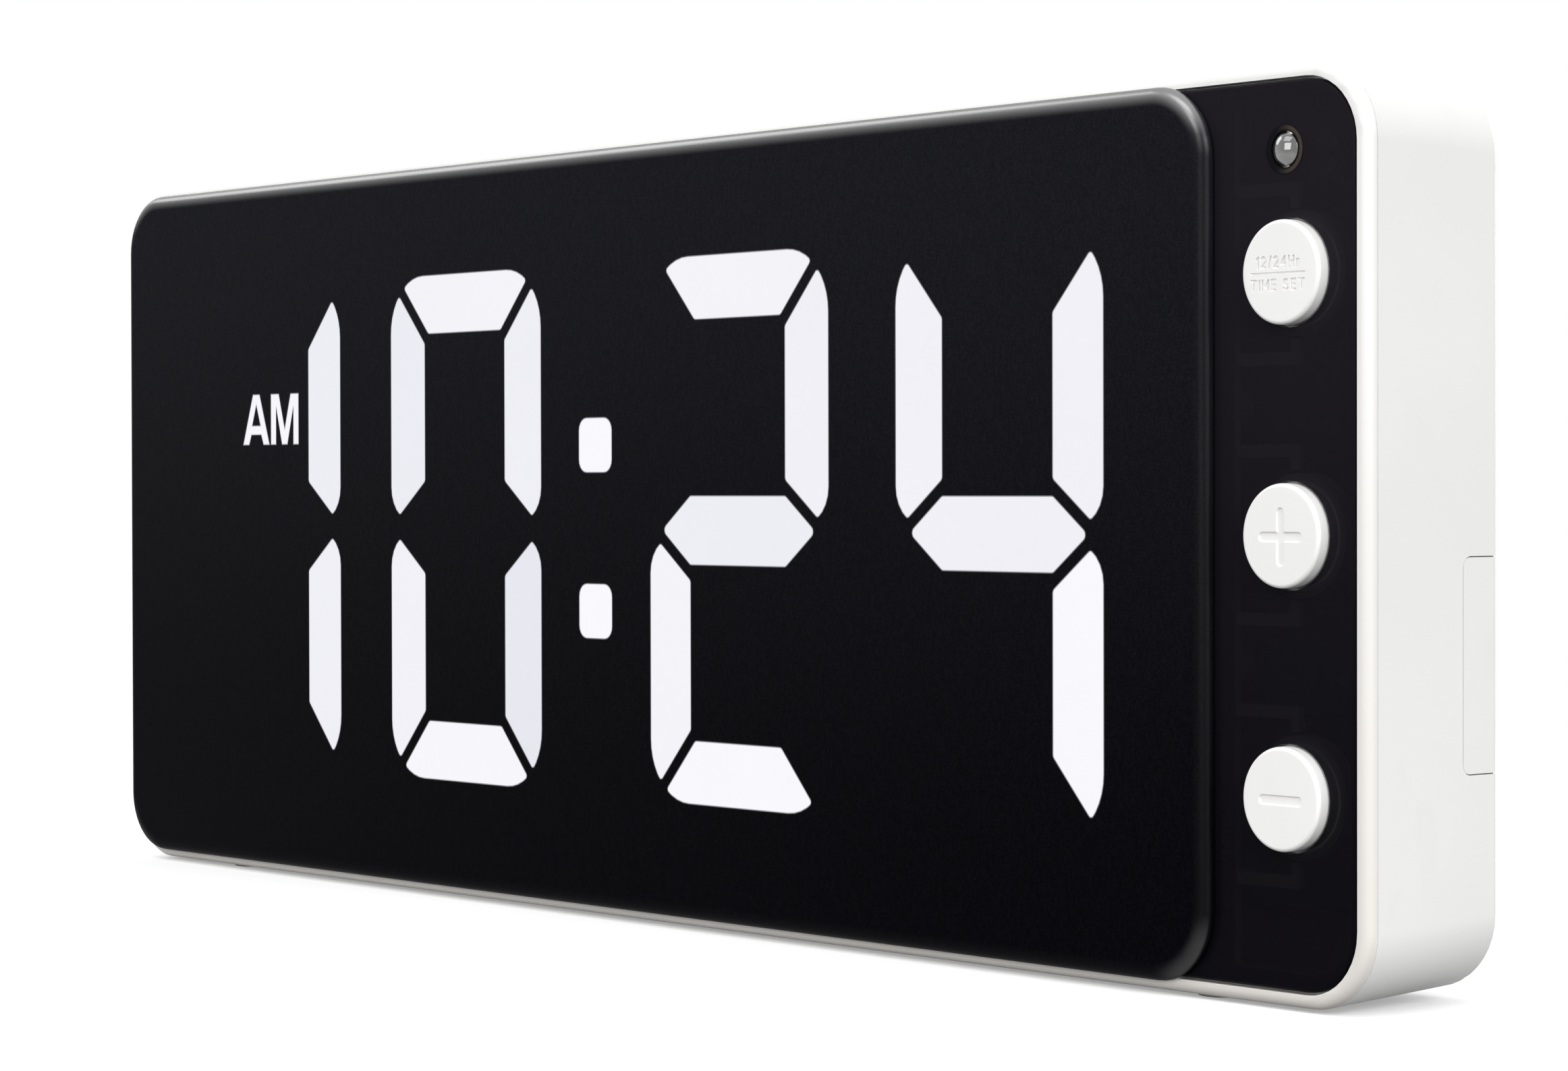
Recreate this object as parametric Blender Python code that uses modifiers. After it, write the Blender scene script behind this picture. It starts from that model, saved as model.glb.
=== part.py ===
"""Free-standing digital alarm clock with a large four-digit seven-segment display.

Frame: +X to the right as the clock is read, +Y from the display towards the back, +Z up.
The origin is under the middle of the clock, on the surface that its feet stand on.
Depths are counted backwards from the face of the display lens.
"""

import math

import bmesh
import bpy
from mathutils import Matrix, Vector

# Case
case_width = 0.2768
case_height = 0.11085
case_corner = 0.0096
case_draft = math.radians(2.5)
wall = 0.0020
lap = 0.0009
back_edge = 0.0010
corner_steps = 10

# Fits
gap = 0.0003
seam_gap = 0.0002
feet_lift = 0.0004

# Front stack
lens_proud = 0.0015
lens_step = 0.0012
lens_edge = 0.0014
lens_reveal = 0.0013
lens_left_reveal = 0.0008
lens_right_inset = 0.0246
lens_corner = 0.0092
bezel_side = 0.0013
bezel_edge = 0.0012
bezel_back_depth = 0.0050
bezel_tongue = 0.0014
bezel_tongue_depth = 0.0070
panel_thickness = 0.0015
panel_reveal = 0.0020
panel_side_gap = 0.0002
panel_overlap = 0.0006
panel_corner = 0.0077
panel_ledge = 0.0019
bar_overhang = 0.0012

# Display
display_shift = 0.0045
digit_width = 0.0387
digit_height = 0.07595
digit_pitch = 0.0524
colon_gap = 0.0259
upright_width = 0.0091
level_width = 0.0089
middle_width = 0.0094
mitre_gap = 0.00175
tip_radius = 0.0028
inner_radius = 0.0007
tip_rise = 0.70
colon_size = 0.0078
colon_rise = 0.01185
colon_radius = 0.0020
sign_width = 0.0175
sign_height = 0.0094
sign_rise = 0.0169
sign_shift = -0.0010
film_thickness = 0.00025
reflector_depth = 0.0045
reflector_margin = 0.0038
cup_floor = 0.55
board_thickness = 0.0012
chip_size = (0.0028, 0.0007, 0.0020)

# Controls on the front
button_side_room = 0.0011
button_pitch = 0.03088
button_radius = 0.00618
button_proud = 0.0013
button_edge = 0.00045
button_skin = 0.0016
button_travel = 0.0005
flange_rim = 0.00122
flange_depth = 0.0020
stem_radius = 0.0022
switch_body = 0.0060
switch_height = 0.0022
plunger_radius = 0.0017
plunger_height = 0.0009
arm_width = 0.0015
arm_depth = 0.0010
arm_front_depth = 0.0008
arm_clearance = 0.0026
leg_shift = -0.0008
rail_tuck = 0.0077
rail_width = 0.0030
peg_radius = 0.0010
sensor_shift = -0.0006
sensor_clearance = 0.0008
sensor_radius = 0.0025
sensor_proud = 0.0009
sensor_hole = 0.00215
sensor_flange = 0.0029
control_board_tuck = 0.0048
control_board_inset = 0.0049
control_board_half = 0.0445
control_board_over_sensor = 0.0046
ribbon_laps = (0.00135, 0.0015)  # past the display screws, and on to the control board

# Battery bay, door and cells
cell_radius = 0.00525
cell_length = 0.0445
cell_nub = 0.0010
cell_nub_radius = 0.0019
contact_room = 0.0037
contact_plate = 0.0004
spring_wire = 0.0003
spring_turns = 4
bay_end_wall = 0.0027
bay_wall = 0.0026
bay_floor = 0.0012
bay_spare = 0.00035
door_side_margin = 0.0017
door_middle = 0.0400
door_thickness = 0.0014
door_lip = 0.0065
door_lip_thickness = 0.0014
door_lip_corner = 0.0010
door_travel = 0.0040
grip_count = 5
grip_start = 0.0120
grip_pitch = 0.0020
grip_width = 0.0009
grip_height = 0.0120
grip_depth = 0.0005
tongue_reach = 0.0030
tongue_width = 0.0050
tongue_spread = 0.0140

# Controls and openings on the back
alarm_inset = 0.0179
alarm_switch_z = 0.0830
alarm_button_z = 0.0660
alarm_button_radius = 0.0035
knob_width = 0.0040
knob_height = 0.0050
knob_travel = 0.0030
knob_pocket_depth = 0.0010
sound_x = 0.0300
sound_drop = 0.03085
buzzer_radius = 0.0100
buzzer_depth = 0.0042
keyhole_spacing = 0.1600
keyhole_drop = 0.02485
keyhole_radius = 0.0042
keyhole_slot = 0.0039
keyhole_rise = 0.0080
keyhole_pocket = 0.0050

# Fasteners and feet
case_screw_inset = 0.0054
case_screw_middle = -0.0120
case_screw_tuck = 0.0070
case_screw_margin = 0.0043
case_boss_radius = 0.0042
case_boss_front = 0.0123
case_seat = 0.0170
bezel_boss_radius = 0.0030
screw_radius = 0.00145
screw_head_radius = 0.0026
screw_head_depth = 0.0019
screw_point = 0.0070
board_screw_radius = 0.0011
board_head_radius = 0.0021
board_head_depth = 0.0014
board_boss_radius = 0.0023
board_screw_rise = 0.0358
control_screw_tuck = 0.0018
foot_radius = 0.0035
foot_inset = 0.0284
foot_depths = (0.0074, 0.0206)
foot_sink = 0.0006

# Heights and depths that follow from the sizes above
base_z = feet_lift
top_z = base_z + case_height
middle_z = base_z + case_height / 2
half_width = case_width / 2
lens_right = half_width - lens_right_inset
# The panel's square end lies under the lens, past where the lens's corner curves away.
corner_drop = lens_corner - (panel_reveal - lens_reveal)
corner_run = lens_corner - math.sqrt(lens_corner**2 - corner_drop**2)
panel_left = lens_right - corner_run - panel_overlap
bar_right = lens_right + bar_overhang
display_middle = (lens_right - half_width + lens_left_reveal) / 2 + display_shift
bezel_front = lens_proud + gap
seam = bezel_front + bezel_side
panel_front = bezel_front
panel_back = panel_front + panel_thickness
film_front = lens_proud + lens_step + gap
reflector_front = film_front + film_thickness + gap
reflector_back = reflector_front + reflector_depth
board_front = reflector_back + gap
board_back = board_front + board_thickness
bay_front = board_back + gap + board_head_depth + gap
case_depth = bay_front + bay_floor + 2 * cell_radius + 2 * gap + door_thickness + bay_spare
door_inside = case_depth - door_thickness
cell_depth = door_inside - gap - cell_radius
bay_bottom = cell_depth - cell_radius - gap
tray_front = bay_bottom - bay_floor
row_offset = cell_radius + gap / 2
bay_half = row_offset + cell_radius + gap
door_z = base_z + door_middle
door_half = bay_half + door_side_margin
lip_inside = half_width - math.tan(case_draft) * (case_depth - door_lip - seam) - door_lip_thickness
bay_right = lip_inside - gap - bay_end_wall
bay_left = bay_right - 2 * cell_length - 2 * contact_room
door_left = bay_left - bay_wall
button_zs = (middle_z + button_pitch, middle_z, middle_z - button_pitch)
button_front = panel_front - button_proud
flange_front = panel_back + gap
stem_end = board_front - switch_height - plunger_height - gap
flange_radius = button_radius + flange_rim
panel_right = half_width - panel_reveal - panel_side_gap
button_x = panel_right - panel_ledge - button_side_room - flange_radius
sensor_x = button_x + sensor_shift
leg_x = button_x + leg_shift
arm_offset = flange_radius + arm_clearance
sensor_z = button_zs[0] + arm_offset + arm_width / 2 + sensor_clearance + sensor_flange
rail_left = lens_right - rail_tuck
control_board_left = lens_right - control_board_tuck
control_board_right = half_width - control_board_inset
case_screw_xs = (wall + case_screw_inset - half_width, case_screw_middle, lens_right - case_screw_tuck)
control_screw_x = lens_right - control_screw_tuck
alarm_x = half_width - alarm_inset
sound_z = top_z - sound_drop
keyhole_z = top_z - keyhole_drop
foot_x = half_width - foot_inset


def at_depth(depth):
    """World Y of a depth behind the lens face."""
    return depth - case_depth / 2


def collection(name, hidden):
    made = bpy.data.collections.new(name)
    bpy.context.scene.collection.children.link(made)
    made.hide_render = hidden
    return made


for old in list(bpy.data.objects):
    bpy.data.objects.remove(old, do_unlink=True)
parts = collection("alarm_clock", False)
cutters = collection("alarm_clock_cutters", True)


def material(name, colour, roughness, metallic=0.0, alpha=1.0):
    made = bpy.data.materials.new(name)
    made.use_nodes = True
    shader = made.node_tree.nodes["Principled BSDF"]
    shader.inputs["Base Color"].default_value = (*colour, 1.0)
    shader.inputs["Roughness"].default_value = roughness
    shader.inputs["Metallic"].default_value = metallic
    shader.inputs["Alpha"].default_value = alpha
    made.diffuse_color = (*colour, alpha)
    return made


white_case = material("white_case", (0.82, 0.82, 0.80), 0.45)
white_button = material("white_button", (0.80, 0.80, 0.79), 0.50)
lens_black = material("lens_black", (0.012, 0.012, 0.014), 0.22)
panel_smoke = material("panel_smoke", (0.020, 0.020, 0.023), 0.08, 0.0, 0.9)
light_box_white = material("light_box_white", (0.85, 0.85, 0.85), 0.60)
film_print = material("film_print", (0.02, 0.02, 0.02), 0.60)
board_green = material("board_green", (0.03, 0.16, 0.07), 0.40)
chip_black = material("chip_black", (0.02, 0.02, 0.02), 0.50)
clear_epoxy = material("clear_epoxy", (0.90, 0.90, 0.88), 0.05, 0.0, 0.4)
steel = material("steel", (0.60, 0.60, 0.58), 0.35, 1.0)
bright_tin = material("bright_tin", (0.72, 0.71, 0.68), 0.30, 1.0)
cell_jacket = material("cell_jacket", (0.10, 0.11, 0.13), 0.35)
foot_rubber = material("foot_rubber", (0.55, 0.55, 0.54), 0.80)
wire_red = material("wire_red", (0.55, 0.03, 0.03), 0.45)
wire_black = material("wire_black", (0.02, 0.02, 0.02), 0.45)
ribbon_grey = material("ribbon_grey", (0.60, 0.60, 0.62), 0.50)


def place(obj, look, cutter=False):
    """Puts an object in its collection with its material, or among the cutters."""
    if cutter:
        cutters.objects.link(obj)
        obj.hide_render = True
        obj.display_type = "WIRE"
        return obj
    parts.objects.link(obj)
    obj.data.materials.append(look)
    return obj


def from_bmesh(name, bm, look=None, origin=(0.0, 0.0, 0.0)):
    bmesh.ops.recalc_face_normals(bm, faces=bm.faces)
    bmesh.ops.translate(bm, verts=bm.verts, vec=-Vector(origin))
    mesh = bpy.data.meshes.new(name)
    bm.to_mesh(mesh)
    bm.free()
    obj = bpy.data.objects.new(name, mesh)
    obj.location = origin
    return place(obj, look, look is None)


def block(bm, xs, depths, zs):
    """Adds a box between two values on each axis and returns its points."""
    size = (xs[1] - xs[0], depths[1] - depths[0], zs[1] - zs[0])
    centre = ((xs[0] + xs[1]) / 2, at_depth((depths[0] + depths[1]) / 2), (zs[0] + zs[1]) / 2)
    matrix = Matrix.Translation(centre) @ Matrix.Diagonal((*size, 1.0))
    return bmesh.ops.create_cube(bm, size=1.0, matrix=matrix)["verts"]


def edges_where(verts, test):
    edges = {edge for vert in verts for edge in vert.link_edges}
    return [edge for edge in edges if test(*(end.co for end in edge.verts))]


def along(axis):
    """A test for edges that run along one axis."""
    return lambda a, b: all(abs(a[i] - b[i]) < 1e-7 for i in range(3) if i != axis)


def bevel(bm, edges, radius, steps):
    bmesh.ops.bevel(
        bm, geom=edges, offset=radius, offset_type="OFFSET", segments=steps, profile=0.5, affect="EDGES"
    )


def rounded_block(bm, xs, depths, zs, radius, steps=corner_steps):
    """A box whose four edges along Y are rounded. It must be the first shape in its bmesh."""
    verts = block(bm, xs, depths, zs)
    bevel(bm, edges_where(verts, along(1)), radius, steps)


def round_rim(bm, depth, radius, steps):
    """Rounds the whole outline that lies at one depth."""
    level = at_depth(depth)
    rim = edges_where(bm.verts, lambda a, b: abs(a.y - level) < 1e-7 and abs(b.y - level) < 1e-7)
    bevel(bm, rim, radius, steps)


def rod(bm, x, z, depths, radius, sides=16, end_radius=None):
    """Adds a round bar along Y. end_radius is the radius at its back end."""
    matrix = Matrix.Translation((x, at_depth(sum(depths) / 2), z)) @ Matrix.Rotation(-math.pi / 2, 4, "X")
    bmesh.ops.create_cone(
        bm,
        cap_ends=True,
        segments=sides,
        radius1=radius,
        radius2=radius if end_radius is None else end_radius,
        depth=depths[1] - depths[0],
        matrix=matrix,
    )


def boolean(target, other, operation="DIFFERENCE"):
    modifier = target.modifiers.new(other.name, "BOOLEAN")
    modifier.operation = operation
    modifier.object = other
    modifier.solver = "EXACT"
    return target


def turned(name, profile, look, location, axis="front", sides=32):
    """A turned piece. The profile runs down its outer side, as (radius, height) from its top.

    Its top faces the front, the back, the right or the left of the clock.
    """
    mesh = bpy.data.meshes.new(name)
    points = [(radius, 0.0, height) for radius, height in profile]
    mesh.from_pydata(points, [(i, i + 1) for i in range(len(points) - 1)], [])
    obj = bpy.data.objects.new(name, mesh)
    turns = {
        "front": (math.pi / 2, 0.0, 0.0),
        "back": (-math.pi / 2, 0.0, 0.0),
        "right": (0.0, math.pi / 2, 0.0),
        "left": (0.0, -math.pi / 2, 0.0),
        "up": (0.0, 0.0, 0.0),
    }
    obj.rotation_euler = turns[axis]
    obj.location = location
    screw = obj.modifiers.new("turn", "SCREW")
    screw.steps = sides
    screw.render_steps = sides
    screw.use_merge_vertices = True
    screw.merge_threshold = 0.000001
    screw.use_smooth_shade = False
    return place(obj, look, look is None)


def fillet_outline(corners, radii, steps=2):
    """An outline with each corner rounded by its own radius, anticlockwise in X and Z."""
    outline = []
    count = len(corners)
    for index, radius in enumerate(radii):
        here = Vector(corners[index])
        before = (Vector(corners[index - 1]) - here).normalized()
        after = (Vector(corners[(index + 1) % count]) - here).normalized()
        half = before.angle(after) / 2
        centre = here + (before + after).normalized() * (radius / math.sin(half))
        start = here + before * (radius / math.tan(half)) - centre
        sweep = math.pi - 2 * half
        for step in range(steps + 1):
            turn = sweep * step / steps
            cos, sin = math.cos(turn), math.sin(turn)
            outline.append(centre + Vector((start.x * cos - start.y * sin, start.x * sin + start.y * cos)))
    return outline


def rectangle(x, z, width, height):
    return [
        (x - width / 2, z - height / 2),
        (x + width / 2, z - height / 2),
        (x + width / 2, z + height / 2),
        (x - width / 2, z + height / 2),
    ]


def flat_plate(name, outlines, depths, look):
    """A plate filled between outlines in X and Z: the first is its edge, the others are holes."""
    curve = bpy.data.curves.new(name, "CURVE")
    curve.dimensions = "2D"
    curve.fill_mode = "BOTH"
    curve.extrude = (depths[1] - depths[0]) / 2
    for outline in outlines:
        spline = curve.splines.new("POLY")
        spline.points.add(len(outline) - 1)
        for point, (x, z) in zip(spline.points, outline):
            point.co = (x, z, 0.0, 1.0)
        spline.use_cyclic_u = True
    obj = bpy.data.objects.new(name, curve)
    obj.rotation_euler = (math.pi / 2, 0.0, 0.0)
    obj.location = (0.0, at_depth(sum(depths) / 2), 0.0)
    return place(obj, look, look is None)


def tube(name, points, radius, look, resolution=2):
    """A wire through smooth points, with filled ends."""
    curve = bpy.data.curves.new(name, "CURVE")
    curve.dimensions = "3D"
    curve.bevel_depth = radius
    curve.bevel_resolution = resolution
    curve.use_fill_caps = True
    spline = curve.splines.new("POLY")
    spline.points.add(len(points) - 1)
    for point, place_at in zip(spline.points, points):
        point.co = (*place_at, 1.0)
    return place(bpy.data.objects.new(name, curve), look)


# Case halves


def case_form(bm, front, back, inset=0.0):
    """The tapered outer form of the rear case, or a smaller copy of it."""
    half_x = half_width - inset
    zs = (base_z + inset, top_z - inset)
    rounded_block(bm, (-half_x, half_x), (front, back), zs, case_corner - inset)
    shrink = math.tan(case_draft) * (back - seam)
    start = math.tan(case_draft) * (front - seam)
    for vert in bm.verts:
        step = shrink if vert.co.y > at_depth((front + back) / 2) else start
        vert.co.x *= (half_x - step) / half_x
        vert.co.z = middle_z + (vert.co.z - middle_z) * (case_height / 2 - inset - step) / (case_height / 2 - inset)


def case_screw_places():
    heights = (base_z + wall + case_screw_margin, top_z - wall - case_screw_margin)
    return [(x, z) for z in heights for x in case_screw_xs]


def display_screw_places():
    left = display_left - reflector_margin - board_boss_radius - 2 * gap
    right = display_right + reflector_margin + board_boss_radius + 2 * gap
    return [(x, middle_z + side * board_screw_rise) for side in (-1, 1) for x in (left, right)]


def control_screw_places():
    return [(control_screw_x, middle_z + side * button_pitch / 2) for side in (-1, 1)]


display_half = 1.5 * digit_width + (digit_pitch - digit_width) + colon_gap / 2 + digit_width / 2
display_left = display_middle - display_half
display_right = display_middle + display_half
window_xs = (display_left - reflector_margin - gap, display_right + reflector_margin + gap)
window_zs = (
    middle_z - digit_height / 2 - reflector_margin - gap,
    middle_z + digit_height / 2 + reflector_margin + gap,
)
panel_xs = (panel_left, panel_right)
panel_zs = (base_z + panel_reveal, top_z - panel_reveal)


def grown(pair, amount):
    return (pair[0] - amount, pair[1] + amount)


def one_sided_round(bm, radius, steps, right_only):
    """Rounds a box's edges along Y, on its right side only if asked."""
    middle = sum(vert.co.x for vert in bm.verts) / len(bm.verts)
    chosen = edges_where(
        bm.verts, lambda a, b: along(1)(a, b) and (not right_only or a.x > middle)
    )
    bevel(bm, chosen, radius, steps)


def build_front_bezel():
    bm = bmesh.new()
    zs = (base_z, top_z)
    rounded_block(bm, (-half_width, half_width), (bezel_front, seam), zs, case_corner)
    round_rim(bm, bezel_front, bezel_edge, 4)
    bezel = from_bmesh("front_bezel", bm, white_case)

    inset = lap + gap
    bm = bmesh.new()
    rounded_block(
        bm,
        (-half_width + inset, half_width - inset),
        (bezel_front + bezel_edge / 2, bezel_tongue_depth),
        grown(zs, -inset),
        case_corner - inset,
    )
    boolean(bezel, from_bmesh("bezel_tongue_form", bm), "UNION")

    inset += bezel_tongue
    bm = bmesh.new()
    rounded_block(
        bm,
        (-half_width + inset, half_width - inset),
        (bezel_back_depth, bezel_tongue_depth + wall),
        grown(zs, -inset),
        case_corner - inset,
    )
    boolean(bezel, from_bmesh("bezel_inside_cut", bm))

    bm = bmesh.new()
    block(bm, window_xs, (0.0, case_depth), window_zs)
    boolean(bezel, from_bmesh("display_window_cut", bm))

    bm = bmesh.new()
    block(bm, grown(panel_xs, gap), (0.0, panel_back + gap), grown(panel_zs, gap))
    one_sided_round(bm, panel_corner + gap, corner_steps, True)
    boolean(bezel, from_bmesh("panel_rebate_cut", bm))

    bm = bmesh.new()
    through_xs = (bar_right, panel_xs[1] - panel_ledge)
    block(bm, through_xs, (0.0, case_depth), grown(panel_zs, -panel_ledge))
    one_sided_round(bm, panel_corner - panel_ledge, corner_steps, True)
    boolean(bezel, from_bmesh("control_window_cut", bm))

    bm = bmesh.new()
    root = bezel_back_depth - 0.0006
    for x, z in case_screw_places():
        rod(bm, x, z, (root, case_boss_front - gap), bezel_boss_radius)
    for x, z in display_screw_places() + control_screw_places():
        rod(bm, x, z, (root, board_front - gap), board_boss_radius, 12)
    for z in rail_peg_zs():
        rod(bm, rail_left + rail_width / 2, z, (root, bezel_back_depth + gap + arm_depth + 0.0006), peg_radius, 10)
    boolean(bezel, from_bmesh("bezel_bosses", bm), "UNION")

    bm = bmesh.new()
    for x, z in case_screw_places():
        rod(bm, x, z, (screw_point - gap, case_boss_front), screw_radius + gap / 2, 12)
    for x, z in display_screw_places() + control_screw_places():
        rod(bm, x, z, (bezel_back_depth - 0.0014, board_front), board_screw_radius + gap / 2, 10)
    boolean(bezel, from_bmesh("bezel_pilot_holes", bm))
    return bezel


def rail_peg_zs():
    return (middle_z + button_pitch - 0.0050, middle_z - button_pitch + 0.0050)


def bottom_at(depth):
    """Height of the tapered underside at a depth."""
    return base_z + math.tan(case_draft) * (depth - seam)


def build_rear_case():
    bm = bmesh.new()
    case_form(bm, seam + seam_gap, case_depth)
    front = at_depth(seam + seam_gap)
    opening = [face for face in bm.faces if all(abs(vert.co.y - front) < 1e-7 for vert in face.verts)]
    bmesh.ops.delete(bm, geom=opening, context="FACES_ONLY")
    weights = bm.edges.layers.float.new("bevel_weight_edge")
    level = at_depth(case_depth)
    for edge in bm.edges:
        if all(abs(vert.co.y - level) < 1e-7 for vert in edge.verts):
            edge[weights] = 1.0
    case = from_bmesh("rear_case", bm, white_case)
    shell = case.modifiers.new("wall", "SOLIDIFY")
    shell.thickness = wall
    shell.offset = -1.0
    shell.use_even_offset = True
    edge = case.modifiers.new("back edge", "BEVEL")
    edge.limit_method = "WEIGHT"
    edge.width = back_edge
    edge.segments = 3

    bm = bmesh.new()
    rounded_block(
        bm,
        (-half_width + lap, half_width - lap),
        (0.0, bezel_tongue_depth + gap),
        (base_z + lap, top_z - lap),
        case_corner - lap,
    )
    boolean(case, from_bmesh("lap_cut", bm))

    inside = case_depth - wall
    bm = bmesh.new()
    for x, z in case_screw_places():
        rod(bm, x, z, (case_boss_front, inside + 0.0010), case_boss_radius)
    for x in (-keyhole_spacing / 2, keyhole_spacing / 2):
        block(bm, grown((x, x), 0.0062), (inside - keyhole_pocket - 0.0014, inside + 0.0010), keyhole_block_zs())
    rod(bm, sound_x, sound_z, (inside - 0.0030, inside + 0.0010), buzzer_radius + 0.0016, 24)
    rod(
        bm, alarm_x, base_z + alarm_button_z, (inside - 0.0050, inside + 0.0010), alarm_button_radius + 0.0015, 20
    )
    boolean(case, from_bmesh("rear_bosses", bm), "UNION")

    bm = bmesh.new()
    tray_zs = grown((door_z, door_z), door_half + gap + 0.0008)
    block(bm, (door_left - 0.0012, half_width - 0.0018), (tray_front, inside + 0.0010), tray_zs)
    boolean(case, from_bmesh("battery_tray", bm), "UNION")

    bm = bmesh.new()
    for x, z in case_screw_places():
        rod(bm, x, z, (case_boss_front - 0.0010, case_depth), screw_radius + gap, 12)
    boolean(case, from_bmesh("case_screw_holes", bm))
    bm = bmesh.new()
    for x, z in case_screw_places():
        rod(bm, x, z, (case_seat, case_depth + 0.0010), screw_head_radius + gap, 16)
    boolean(case, from_bmesh("case_screw_wells", bm))

    bm = bmesh.new()
    block(bm, (bay_left, bay_right), (bay_bottom, case_depth + 0.0010), grown((door_z, door_z), bay_half))
    boolean(case, from_bmesh("battery_bay_cut", bm))
    bm = bmesh.new()
    recess_zs = grown((door_z, door_z), door_half + gap)
    block(bm, (door_left - gap, half_width + 0.0010), (door_inside - gap, case_depth + 0.0010), recess_zs)
    boolean(case, from_bmesh("door_recess_cut", bm))
    bm = bmesh.new()
    block(
        bm,
        (lip_inside - gap, half_width + 0.0010),
        (case_depth - door_lip - gap, case_depth + 0.0010),
        recess_zs,
    )
    front = at_depth(case_depth - door_lip - gap)
    corners = edges_where(bm.verts, lambda a, b: along(0)(a, b) and abs(a.y - front) < 1e-7)
    bevel(bm, corners, door_lip_corner + gap, 3)
    boolean(case, from_bmesh("door_lip_cut", bm))

    bm = bmesh.new()
    for z in tongue_zs():
        block(
            bm,
            (door_left - tongue_reach - 2 * gap, bay_left + 0.0005),
            (tongue_depths()[0] - gap, case_depth - wall + 0.0002),
            grown((z, z), tongue_width / 2 + gap),
        )
    for z in row_zs():
        block(
            bm,
            (door_left - 0.0030, bay_left + 0.0005),
            (cell_depth - 0.0017 - gap, cell_depth + 0.0017 + gap),
            (z - 0.0004 - gap, z + 0.0004 + gap),
        )
    boolean(case, from_bmesh("tray_slots_cut", bm))
    bm = bmesh.new()
    for z in tongue_zs():
        block(
            bm,
            (door_left - gap, bay_left + 0.0005),
            (tongue_depths()[0], door_inside),
            grown((z, z), tongue_width / 2 + gap),
        )
    boolean(case, from_bmesh("tongue_root_slots_cut", bm))

    build_keyholes(case)
    build_back_controls_cuts(case)

    bm = bmesh.new()
    for x, depth in foot_places():
        roof = bottom_at(depth) + foot_sink + gap
        matrix = Matrix.Translation((x, at_depth(depth), roof / 2 - 0.0010))
        bmesh.ops.create_cone(
            bm,
            cap_ends=True,
            segments=24,
            radius1=foot_radius + gap,
            radius2=foot_radius + gap,
            depth=roof + 0.0020,
            matrix=matrix,
        )
    boolean(case, from_bmesh("foot_recesses", bm))
    return case


def keyhole_block_zs():
    return (
        keyhole_z - keyhole_radius - 0.0020,
        keyhole_z + keyhole_rise + keyhole_radius + 0.0020,
    )


def build_keyholes(case):
    inside = case_depth - wall
    low = keyhole_z
    high = low + keyhole_rise
    for side, x in (("left", -keyhole_spacing / 2), ("right", keyhole_spacing / 2)):
        bm = bmesh.new()
        rod(bm, x, low, (inside - keyhole_pocket, case_depth + 0.0010), keyhole_radius, 24)
        boolean(case, from_bmesh(f"keyhole_head_{side}", bm))
        bm = bmesh.new()
        block(bm, grown((x, x), keyhole_slot / 2), (inside - 0.0010, case_depth + 0.0010), (low, high))
        boolean(case, from_bmesh(f"keyhole_slot_{side}", bm))
        bm = bmesh.new()
        rod(bm, x, high, (inside - 0.0010, case_depth + 0.0010), keyhole_slot / 2, 20)
        boolean(case, from_bmesh(f"keyhole_top_{side}", bm))
        bm = bmesh.new()
        block(bm, grown((x, x), keyhole_radius), (inside - keyhole_pocket, inside), (low, high + keyhole_radius))
        boolean(case, from_bmesh(f"keyhole_pocket_{side}", bm))


def sound_holes():
    """One hole in the middle and six round it."""
    ring = [
        (0.0034 * math.cos(math.radians(60 * step)), 0.0034 * math.sin(math.radians(60 * step)))
        for step in range(6)
    ]
    return [(sound_x + dx, sound_z + dz) for dx, dz in [(0.0, 0.0)] + ring]


def build_back_controls_cuts(case):
    inside = case_depth - wall
    bm = bmesh.new()
    for x, z in sound_holes():
        rod(bm, x, z, (inside - 0.0010, case_depth + 0.0010), 0.0010, 10)
    boolean(case, from_bmesh("sound_holes_cut", bm))
    bm = bmesh.new()
    rod(bm, sound_x, sound_z, (inside - 0.0040, inside - 0.0006), buzzer_radius + gap, 24)
    boolean(case, from_bmesh("buzzer_seat_cut", bm))
    bm = bmesh.new()
    rod(
        bm,
        alarm_x,
        base_z + alarm_button_z,
        (inside - 0.0060, case_depth + 0.0010),
        alarm_button_radius + gap,
        24,
    )
    boolean(case, from_bmesh("alarm_button_hole", bm))
    bm = bmesh.new()
    switch_z = base_z + alarm_switch_z
    pocket_xs = grown((alarm_x, alarm_x), knob_width / 2 + knob_travel / 2 + 0.0012)
    rounded_block(
        bm,
        pocket_xs,
        (case_depth - knob_pocket_depth, case_depth + 0.0010),
        grown((switch_z, switch_z), knob_height / 2 + 0.0012),
        0.0010,
        3,
    )
    boolean(case, from_bmesh("alarm_switch_pocket", bm))
    bm = bmesh.new()
    slot_xs = grown((alarm_x, alarm_x), knob_width / 2 + knob_travel / 2 + gap)
    block(bm, slot_xs, (inside - 0.0010, case_depth), grown((switch_z, switch_z), knob_height / 2 + gap))
    boolean(case, from_bmesh("alarm_switch_slot", bm))


def foot_places():
    return [(side * foot_x, depth) for side in (-1, 1) for depth in foot_depths]


def build_feet():
    names = ("foot_left_front", "foot_left_rear", "foot_right_front", "foot_right_rear")
    for name, (x, depth) in zip(names, foot_places()):
        top = bottom_at(depth) + foot_sink
        edge = 0.0002
        profile = [(0.0, top), (foot_radius, top), (foot_radius, edge), (foot_radius - edge, 0.0), (0.0, 0.0)]
        turned(name, profile, foot_rubber, (x, at_depth(depth), 0.0), "up", 24)


# Display


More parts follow.
